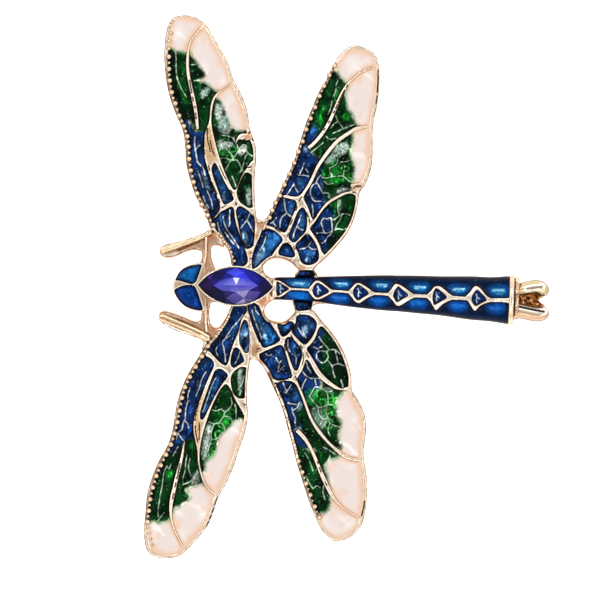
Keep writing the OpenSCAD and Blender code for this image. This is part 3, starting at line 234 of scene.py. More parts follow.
# ---- finer charts, for the looks only ----
# Rows of beads on the rims: wing, bead centres [across, down], radius
BEADS = {
  "right": [
    ([[171.6,21.6],[170.6,33],[169.2,41],[168.8,48.4]], 2.2), ([[170.8,27.2],[169.8,37],[168.9,44.8]], 1.5),
    ([[168.8,56.6],[168.9,68.9],[169.8,80.5],[171.8,92.2],[175.4,103.3],[179.2,115.5],[184.0,126],[187.4,136.2],
      [188.7,146.8],[189.2,159],[190.9,170.5],[193.7,182],[197.2,193.4],[201.9,204.6],[207.6,215.2],[213.3,225]], 2.8),
    ([[169,62.6],[169.3,74.6],[170.6,86.3],[173.3,97.8],[177.2,109.4],[181.5,120.8],[185.9,131.2],[188.2,141.4],
      [189.1,152.8],[190.2,164.8],[192.4,176.3],[195.6,187.8],[199.7,199],[204.9,210],[210.4,220.2]], 1.7),
    ([[334.9,65.6],[329.3,75],[324,85.8],[319.6,96],[315.2,107.2],[310.7,118.4],[306.3,129.4],[302.7,141.3],
      [298.6,151.6],[294.2,162.9],[289.7,173.8],[284.6,184.7],[280,195.6],[275.6,202.6],[269.6,217.6],[272.4,210.4]], 2.7),
    ([[332,70.3],[326.7,80.4],[321.8,91],[317.4,101.6],[313,112.8],[308.5,124],[304.5,135.4],[300.6,146.4],[296.4,157.2],
      [292,168.4],[287.2,179.3],[282.3,190.2]], 1.3),
    ([[221.2,236],[224.4,242],[231.2,252.2],[234.4,261]], 1.9), ([[222.9,239.2],[226.6,245.4],[229,248.8],[232.8,256.6]], 1.4)],
  "left": [
    ([[208,346],[202,356.3],[195.8,366.7],[190,376.8],[185.2,387],[182,397.8],[179.6,410.6],[177.4,422],[174.8,433.4],
      [171,444.6],[166,454.6],[160.8,465.2],[156.4,476],[152.8,487.6],[150.2,499.4],[148.8,510.8],[147.6,522]], 2.8),
    ([[205,351.2],[198.9,361.5],[192.9,371.8],[187.6,381.9],[183.7,392.4],[180.9,404],[178.7,416.2],[176.2,427.8],
      [173,439],[168.6,449.8],[163.5,460],[158.6,470.6],[154.6,481.8],[151.4,493.6],[149.4,505.2],[148.1,516.6]], 1.7),
    ([[148.4,527.6],[149,533.4],[150.2,539.4],[152,545.4]], 1.7),
    ([[298.4,461],[302.3,472.2],[306.3,483.4],[310.4,495],[314.8,506.6],[319.4,517.4]], 2.7),
    ([[274.8,385.6],[279.2,396.5],[283.4,407.8],[287,419],[290.2,430.4],[293.2,441.6],[296.2,452]], 1.9),
    ([[300.4,466.6],[304.3,477.8],[308.3,489.2],[312.6,500.8],[317,512]], 1.3),
    ([[228.8,316.6],[222.4,326.6],[216.2,336.2],[211.2,341.4]], 2.0), ([[226.2,322],[219.4,331.6],[213.8,338.8]], 1.4)]}

# Dark slots and pits sunk in the metal: side, line, width
SLOTS = {
  "right": [([[212,230.8],[212.7,232]],1.5), ([[216.4,229.2],[217.6,230.8]],1.4), ([[189.6,80],[190.6,86.5],[191.8,93]],1.3), ([[192.6,97],[193.4,101]],1.0), ([[194.6,106],[194.9,107.5]],1.3),
    ([[195.6,113],[196.4,119]],0.8),
    ([[199.5,134],[199.8,141],[200.6,149]],0.9), ([[204.4,137],[203.6,146],[204.6,154]],0.7),
    ([[207.4,128],[207.2,136],[208.6,144],[210.4,151.5]],0.9), ([[210.2,140],[211.6,148],[214.4,155.5]],0.8),
    ([[205.4,163],[207.4,170.5],[210.4,179]],0.9), ([[211.6,182],[214.2,188.6],[217,194.5]],0.8),
    ([[218.6,199],[219.8,202.4]],1.0), ([[208.6,166],[209.6,170]],1.1), ([[221.6,207.8],[226,205.6]],0.9),
    ([[230.6,190],[232.2,193.6]],1.0), ([[219.4,166],[222.4,172.6],[226,179.4]],0.6),
    ([[344.6,90.4],[341.6,96]],1.5), ([[340.8,98],[338.6,102.6]],1.5), ([[337.6,104.6],[335.8,108.4]],1.5),
    ([[334.6,110.8],[333.6,112.8]],1.6), ([[329.4,121.2],[328.8,122.4]],1.7), ([[324.8,128.6],[324,129.8]],1.7),
    ([[347.6,85],[346.4,86.8]],1.2), ([[378,70],[378,81],[377.3,92]],1.0), ([[377,96],[376.2,103]],0.6),
    ([[309,218.6],[309.6,222.5]],1.0), ([[306.4,213],[308.6,217]],0.9), ([[301.6,196.4],[299.2,201.2]],0.8),
    ([[297.4,206],[295.8,210.6]],0.8), ([[292.4,219.6],[290.6,224.6]],0.8), ([[311.6,221.6],[316.2,216]],0.7),
    ([[288.4,233],[287.2,236.4]],0.9), ([[275,228.6],[280.5,232.4]],0.7), ([[293.6,246],[294.8,249.6]],1.0),
    ([[353.4,188.6],[357,185.8],[361,186.6]],1.2), ([[352.6,192],[355.4,192.4]],0.9),
    ([[248.4,133.6],[251,131.4],[253.4,134]],1.2), ([[243.4,139.4],[246.4,138.2]],0.9), ([[251.5,139],[254.6,141.5]],1.0),
    ([[248.6,167.8],[251.2,166.4]],1.4), ([[243.6,168.8],[241.2,173.6]],0.6), ([[235.6,203.4],[237.2,205.6]],1.0)],
  "left": [([[210.4,337.4],[211.4,338.6]],1.4), ([[207.4,341.4],[208,342.6]],1.4), ([[179.8,464],[178.6,471],[177,478.5]],1.3), ([[176,482.5],[175,487]],1.0), ([[173.6,493.6],[172.4,499]],1.0),
    ([[209.4,494],[206.4,501]],0.1),
    ([[217.2,497.5],[214.6,504.6]],1.2), ([[213.6,508.2],[212,512.4]],1.3), ([[211,515.4],[209.4,519]],1.4), ([[208.4,521.6],[206.4,526.4]],1.2),
    ([[196.6,372],[189.6,388],[186.6,397.4]],0.1),
    ([[210.6,366.4],[207,374.6],[203.4,383.6],[200.4,391.4]],0.9), ([[203.4,389.4],[199.8,399.4],[196.8,408.6]],0.9),
    ([[198.4,404.6],[196,413],[195,420.6]],1.0), ([[195.2,426],[196,434.4],[197.6,442]],0.9),
    ([[199.2,422.6],[199.4,430.8],[199,439.6]],0.8), ([[216.6,383.6],[211.4,393.8]],0.7), ([[207.6,403.2],[204.2,411.8]],0.8),
    ([[248.6,398.8],[250.4,401.6]],1.1), ([[246.8,407.6],[249.4,410.6]],1.1), ([[244,403.6],[245.6,405.2]],0.9),
    ([[268.4,372.4],[271.8,380.6],[275.6,389.8],[279.6,400.6],[283.4,411],[286.8,422],[289.9,434],[292.8,445.4],[295,453]],0.9),
    ([[309.2,440.6],[309.8,441.4]],1.3), ([[317.6,462],[318.2,463.6]],1.2),
    ([[319.4,467.8],[321.4,473]],0.7), ([[325.2,482],[327,485.6]],0.8),
    ([[364.4,501],[363.6,508],[361.6,516]],1.2), ([[351.4,378],[352.6,380]],1.6), ([[352.6,383.6],[353.4,385.4]],1.6), ([[353.4,388.6],[354.2,390]],1.4),
    ([[306.4,352.6],[308.6,357.6]],0.9), ([[303,353],[303.6,359],[302,365]],0.8), ([[295.4,376.4],[297,380.6]],1.0),
    ([[284.2,344.6],[285.6,350.6]],0.8), ([[300.4,345.4],[302.6,348.6]],0.9), ([[291,335.6],[292.6,338.6]],0.9),
    ([[256.6,349.4],[259.8,348.2]],0.9), ([[293.2,384.4],[289.4,381.2]],0.6)]}

# Warmer places of the metal, where solder pooled: [across, down, radius]
WARM = {
  "right": [[259,222,8],[264,229,6],[256,236,5],[267,274,6],[216,268,5],[357,186,8],[249,136,6],[212,236,6],[302,268,5]],
  "left": [[255,350,9],[260,361,8],[266,302,7],[318,307,8],[297,308,4],[252,406,5],[214,330,6],[270,376,5],[263,314,5]]}

# Small closed veins: [across, down, radius]
LOOPS = {
  "left_hind": [[319.6,393.4,3.4],[328.4,396,3.6],[336.6,401,3.2],[323,402.6,3.4],[330.4,408.6,4.2],[321.6,413.6,3.4],[334.4,418.6,4],
    [328,425.6,3.2],[338,410.4,3]],
  "left_fore": [[212.6,441,3],[218.8,434.4,3.4],[226.2,429.4,3.2],[220.4,424.2,2.8],[230.8,421.4,3],[214.4,449,2.8],[209,455,2.6],[232,412,2.6]],
  "right_fore": [[225,141,3],[232.6,149,3.2],[222.6,151.6,3],[229.4,158,3]],
  "right_hind": [[336.4,163.6,3.4],[345,168.4,3.2],[351.8,176,3],[340.6,175.4,3.2],[349.6,160.6,3]]}
# Rods laid on the plain metal: side, line, width, height over the plate's top
RODS = {
  "right": [([[163.6,250.6],[170,248.6],[177,246.4],[188,242.2],[200,237.4],[209.6,232.6]],7.2,0.5),
    ([[206.2,238.6],[205.8,246],[205.8,254],[204.6,262],[203.6,269]],3.6,0.34),
    ([[257.4,221.4],[262.8,221.8],[268.6,219.4]],2.2,0.2), ([[265.4,224.6],[262.6,234],[259.4,246]],2.2,0.14)],
  "left": [([[162.6,317],[170,320],[182,325],[192,329.4],[200,333.4],[207.6,337.8]],8.6,0.5),
    ([[205.4,301],[205.8,312],[205.8,322],[206.6,331]],3.6,0.34)]}

# Thin brown lines along the legs
LEG_LINES = {"right": [[178,250.8],[188,246.8],[199.4,242]], "left": [[160.6,317.2],[172,321.6],[186,327.2],[200,333.6]]}

# Wide walls with a warmer gold
GOLDEN = {"right": [[196,128],[206,124],[212,130],[216,150],[214,166],[206,160],[199,146]],
  "left": [[186,412],[192,404],[198,398],[206,394],[204,410],[202,430],[201,452],[196,452],[192,436]]}

# Where enamel runs over the metal between a tab and the tail
JOINTS = {"right": [[298,270],[310.6,270],[316.5,279],[291,279]], "left": [[292,298],[314,298],[311.6,310.4],[296.4,310.4]]}

# Flat plates of the legs and bars, darker than the walls
PLATES = {
  "right": [[175,250],[190,241],[204,234],[214,230],[222,236],[216,246],[214,258],[216,274],[207,277],[203,262],[203,252],[190,256]],
  "left": [[176,318],[190,316],[203,310],[203,298],[216,298],[213,312],[216,330],[226,338],[214,345],[196,334]]}

# Colour areas of the enamel: wing, cells ("" for all), colour, edge softness in steps, outline; the light and pale
# colours are painted highlights and reflections
AREAS = {
 "right_fore": [
  ("strip","blue",3,[[150,113],[176,112],[187,117],[196,130],[214,128],[236,150],[240,245],[150,245]]),
  ("strip","green",2.2,[[150,50.5],[168,50.2],[178,52],[186,53.8],[190,56],[190.5,80],[190,118],[150,114]]),
  ("strip","green",2.0,[[188.6,55.5],[193,58],[198,64],[202.6,69.5],[205.2,74.5],[203,78],[199.8,80.2],[205,82.6],
     [212,87.4],[216.4,91],[221,95.5],[215,110],[213.5,128],[196,131],[188,110]]),
  ("strip","deep",2.0,[[166,50],[174.6,50],[175,66],[176.4,80],[180.4,92],[183.6,100],[182,112],[176,106],[170,88],[167,66]]),
  ("strip","deep",3.0,[[182,106],[192,104],[194,116],[190,120],[184,118]]),
  ("strip","lightgreen",1.2,[[179.4,51.6],[185.4,52.4],[185,56],[182,58],[180,55.6]]),
  ("strip","lightgreen",1.6,[[182,64],[185,66],[185.4,76],[183.4,78],[182,72]]),
  ("strip","lightgreen",1.4,[[177.6,84],[181,88],[184.6,92],[186.8,100],[184.6,102],[181.6,96.6],[178.6,90]]),
  ("strip","pale",1.2,[[202,90],[206,86.5],[210,88],[209,92],[205,97],[202.5,98.5],[201,95]]),
  ("strip","paleblue",1.4,[[202.6,172],[205.6,176],[208.6,183.6],[211,190],[207.6,189],[204.4,184],[202.4,178]]),
  ("strip","pale",1.2,[[194.6,121],[197,120],[199,124],[198.6,128.6],[196.4,129],[195,126]]),
  ("strip","lightblue",1.8,[[185.6,122],[189.4,124.6],[191,131],[188.2,132.6],[185.8,128.4]]),
  ("fan","green",1.6,[[205,97],[212,95.6],[216.4,97.4],[221,101.6],[224.6,109.6],[227.6,119.4],[231.4,126.4],[238,130.4],
     [245.6,130.6],[262,130],[262,198],[225,198],[205,150]]),
  ("fan","pale",2.0,[[216.4,104.6],[220.4,105],[222.4,110],[221,117.6],[217.4,119],[215.4,112]]),
  ("fan","pale",2.2,[[220,117],[225.6,116],[229.4,122],[230.6,130],[226,134.4],[220.6,131.6],[218.4,124]]),
  ("fan","pale",1.6,[[216.6,141.6],[222,140],[229.6,141],[233.4,144.4],[229.6,147.6],[222.4,149.2],[218,147.6]]),
  ("fan","pale",1.4,[[238.6,150.6],[242.4,145],[246.6,145.6],[245.6,151],[240.4,155]]),
  ("fan","deep",1.2,[[223.6,140.4],[227.6,137],[233.4,137.6],[234.4,140.2],[229.6,141.4]]),
  ("fan","deep",1.2,[[229.6,131],[233.6,129],[235.4,133],[233,137],[229.8,135.6]]),
  ("green","pale",1.3,[[246.8,189.6],[250,188.4],[251,194],[250.4,202.6],[248,205],[246.6,198]]),
  ("green","deep",2.5,[[238,191],[242,186],[244.6,192],[244,200],[240,201]]),
  ("blue","paleblue",1.3,[[241.4,233],[245.4,231.6],[247.6,237],[246.8,245.6],[243.6,243],[241.6,238]]),
  ("sliver","steel",1.2,[[216.4,169],[220,173],[225,185],[229,195],[227,201],[222.6,196],[218.6,185],[216,176]]),
  ("sliver","paleblue",0.9,[[222.6,192.6],[225.6,195.6],[224.6,200.6],[222.6,198]]),
  ("root","lightblue",1.6,[[219.6,213.6],[222.4,212.4],[225.4,219],[227.6,226],[224.6,226.6],[221.4,220.6]]),
  ("root","paleblue",1.0,[[239.6,224],[242.6,224],[244.4,232],[248.4,240],[250,246.6],[246.4,246.4],[242.8,239],[240.4,231]])],
 "left_fore": [
  ("strip","blue",2.5,[[150,340],[222,340],[222,500],[206,470],[196,452],[186,452],[176,454],[150,458]]),
  ("strip","green",2.5,[[130,452],[164,452.5],[174,454],[183,441],[190,439],[197,441],[206,470],[212,484],[212,490],
     [203,484],[197,485.4],[190,487.5],[186,490],[189,494],[190,498],[188,501],[183,504],[179,507],[175,508.4],[172,514],
     [170.4,520],[162,523],[150,522],[130,522]]),
  ("strip","pale",1.8,[[190.6,483],[193,476],[198,470.6],[200.4,474],[199,481],[194,484.4]]),
  ("strip","lightblue",2.0,[[201.6,361.6],[206.4,360.6],[208.4,364],[206,368],[202.4,367]]),
  ("strip","lightblue",1.6,[[180.6,437.6],[184.6,436.6],[184.4,443],[181.4,446]]),
  ("strip","lightgreen",1.6,[[166.6,471.4],[170.6,470.6],[172.4,475],[169.6,479],[166.4,477]]),
  ("strip","paleblue",1.2,[[197.6,380.6],[199.6,383.6],[199,390],[196.6,389]]),
  ("fan","green",2.2,[[190,380],[232,380],[250,402],[256,414],[252,419],[244,419.4],[236,420.4],[231,427],[225,431.4],
     [220,436.4],[217,445],[214,455],[209,459.4],[205.4,463],[205,468],[203.6,473],[196,474],[190,440]]),
  ("fan","pale",2.2,[[203.6,431],[207,425.6],[211.6,426.6],[211,434],[209,444],[207,456],[203.4,459.6],[202.2,448],[202.6,438]]),
  ("fan","lightgreen",2.2,[[213.4,415],[220,413.4],[229.6,414.6],[230,422],[224,425.6],[216,424.6]]),
  ("fan","deep",1.5,[[213.6,427.4],[218.6,425],[223.4,426.6],[222.4,431.6],[217,434.6],[213.4,432.6]]),
  ("notch","paleblue",1.2,[[238,333],[250,332],[252,354],[246,358],[237,354]]),
  ("notch","blue",0.8,[[242,339.6],[245.4,337.6],[247.6,341],[246.6,347.6],[243.8,349.4],[241.8,345.6]]),
  ("notch","lightblue",1.3,[[241,325.6],[247.4,325],[248,332.6],[242,333]]),
  ("green","pale",1.2,[[238.6,371],[241.6,369.8],[242,380],[241.4,391],[239.4,394.6],[238.2,384]]),
  ("sliver","steel",1.1,[[214,379],[218.8,376],[217.6,386],[212,400],[206.4,411],[203.8,411],[206.6,398],[210.4,386]]),
  ("root","lightblue",1.6,[[228,330],[232,327],[235.6,322],[237,325],[233,332],[229,337]])],
 "right_hind": [
  ("strip","blue",3,[[266,150],[296,148],[303,140],[312,151],[322,160],[334,170],[334,206],[266,206]]),
  ("strip","blue",2,[[298,124],[318,122],[322,134],[312,148],[294,150]]),
  ("strip","green",2.2,[[300,128.6],[318,128.6],[311,146],[306,149],[310,151],[320,160.6],[336,158],[358,128.4],[357,124.6],
     [353.4,117],[350.4,111.4],[347.4,108],[347,100],[345.4,93.6],[347.4,85.6],[344,80],[339.4,76],[335.6,71],[320,70],[298,120]]),
  ("strip","lightgreen",2,[[343.4,114],[347.4,112.6],[349.8,117],[347.4,120.6],[344,119.6]]),
  ("strip","lightgreen",1.8,[[318.6,117.6],[321.4,110],[323.6,105.6],[325.8,109],[323,117.6],[320,124]]),
  ("strip","lightgreen",1.4,[[333.4,98.6],[335.6,92],[338.4,90],[337.6,96.6],[335,103]]),
  ("strip","paleblue",1.2,[[304.4,146.4],[307,144.6],[307.8,148.6],[306.4,151.6],[304.2,150]]),
  ("strip","lightblue",1.6,[[311,128.6],[314,124],[315.6,128],[312.6,135],[310.6,134]]),
  ("strip","lightblue",1.8,[[297.6,180],[301,177.4],[303.4,183],[301.6,188.6],[298.6,188]]),
  ("fan","green",2.4,[[318,172],[322,160],[331,148],[343,136],[351.4,133],[352.4,142],[351.4,150],[350.4,155],[352.4,160],
     [354.2,166],[353.4,175],[352.4,186],[348,193],[334,198],[322,206],[319,196],[321,184]]),
  ("fan","blue",3.0,[[300,190],[312,178],[321,164],[322.6,172],[323,184],[324,194],[326,203],[318,218],[306,220]]),
  ("fan","pale",2.0,[[332.6,153.6],[334,147],[340,143.6],[346,143],[348,148],[344,153.6],[337,156.4]]),
  ("fan","pale",1.8,[[325,162],[329.4,155.4],[334.4,153.4],[336.4,157],[332,161],[327,164.4]]),
  ("fan","pale",1.4,[[336.8,190.6],[340.6,187.4],[346,187.6],[350,189],[345,191.6],[339,193]]),
  ("fan","deep",1.2,[[339.6,158.4],[344,156.4],[349,156.6],[349.6,159.6],[345,161.2],[340.6,161.4]]),
  ("fan","lightgreen",2.0,[[322,169],[330,163],[340,164],[346,172],[342,182],[332,184],[325,180]]),
  ("green","blue",2.4,[[304,214],[331,209],[332.4,217],[333,226],[331.6,236],[328,244],[323,254],[308,254]]),
  ("green","pale",1.2,[[337.6,202],[340,200],[340.6,208],[339,213]]),
  ("green","lightgreen",1.8,[[335,203.6],[338,201],[338.6,209],[335.6,213]]),
  ("root","steel",2.0,[[263,240],[269,234],[276,232.6],[281,236.6],[276,245],[268,254],[259,264],[254,266],[257,254]]),
  ("root","paleblue",1.2,[[258.4,251],[262.6,246.4],[265.6,249.4],[263.6,255],[258.4,262],[255,264.6]]),
  ("lead","lightblue",2.0,[[290,206],[294,203.4],[293,210],[290.6,216.6],[288.6,214]]),
  ("petal","lightblue",1.8,[[300,214],[303,214],[303.6,221],[301,228],[298.6,224]]),
  ("drop","lightblue",1.6,[[284,248],[287.4,246.4],[289.6,250],[286.6,253]]),
  ("heel","lightblue",1.8,[[306,251],[311,248.6],[314.4,252.6],[312.6,258],[307.6,258]]),
  ("heel","paleblue",1.0,[[305,258.6],[308.4,257.8],[308.6,261],[305.8,262]])],
 "left_hind": [
  ("strip","blue",3,[[262,374],[304,374],[312,410],[320,446],[296,450],[280,450]]),
  ("strip","green",2.6,[[284,446.4],[296,445.6],[306,448],[312,452],[322,448],[329,451.4],[337,455.6],[332.4,457.4],
     [328.4,461],[325.2,466],[326.2,472],[327.6,478],[330,490],[330.6,500],[328,510],[321.4,514],[310,514],[296,500]]),
  ("strip","green",3.0,[[296,404],[306,404],[312,418],[322,434],[338,452],[338,456.6],[330,459],[312,448],[303,432],[297,418]]),
  ("strip","lightgreen",1.8,[[305,452],[308.4,452.6],[312.6,463],[315.4,472],[312,472],[307,461]]),
  ("strip","lightblue",1.8,[[292.4,388],[296.4,388.4],[298,397],[296.4,401],[292.6,399]]),
  ("strip","paleblue",1.6,[[297.8,403.6],[301.6,403],[300.6,409],[297.6,411]]),
  ("strip","pale",1.2,[[295.4,429],[299,427.6],[302.6,431],[300,433.4],[296,432.6]]),
  ("fan","blue",2.4,[[294,352],[312,352],[320,376],[321,388],[315,394],[306,402],[298,394]]),
  ("fan","green",2.6,[[306,400],[314,394],[321,388],[322,376],[334,384],[346,389],[344,391.6],[340.6,396],[336.4,402],[335.2,410],
     [336.2,416],[340.2,420],[341.4,426],[339.4,432],[339.2,440],[341.4,449],[330,446],[318,430],[306,412]]),
  ("fan","lightblue",2.0,[[307.6,393],[311.4,391.6],[313,397],[310.4,401.6],[307.4,399]]),
  ("fan","smoke",2.0,[[312,409],[318.6,405],[326.6,406],[329,412],[326.6,422],[321,431],[315.6,426],[311.8,417]]),
  ("fan","lightgreen",2.0,[[306,392],[314,389],[322,392],[326,401],[318,407],[308,404]]),
  ("fan","lightgreen",1.8,[[324,404],[334,402],[337,412],[330,419],[323,413]]),
  ("fan","smoke",1.6,[[322.4,389],[327.4,387.4],[333,388.6],[332.6,391.6],[326,392]]),
  ("green","blue",2.6,[[304,338],[322,330],[321.4,341],[320.6,352],[320.6,366],[318,372],[308,360]]),
  ("green","deep",3.0,[[329,331],[339,340],[347,356],[350,370],[347,388],[338,386],[331,366],[329,348]]),
  ("heel","paleblue",1.2,[[302.6,327],[306.4,325.4],[308.4,331],[305,334.6],[302.6,331.6]]),
  ("heel","lightblue",1.6,[[306,320],[311.6,320.6],[313,327],[309,329.6],[306.6,326]]),
  ("root","steel",1.8,[[254.6,311],[259,315],[263.6,322],[269.6,328],[274.4,337],[272,344],[265,344.6],[260,334],[256,322]]),
  ("root","paleblue",1.0,[[259.4,320],[261.4,324],[264,331],[266.4,339],[263.4,339],[260.6,331]]),
  ("drop","lightblue",1.5,[[283,328],[287.6,326],[288.6,330],[284.6,333]]),
  ("lead","lightblue",1.8,[[278,352],[281.6,351],[284,358],[285.6,366],[282.6,365]]),
  ("petal","lightblue",1.8,[[293,344],[296.4,348],[297.6,356],[295,360],[292,352]])]}

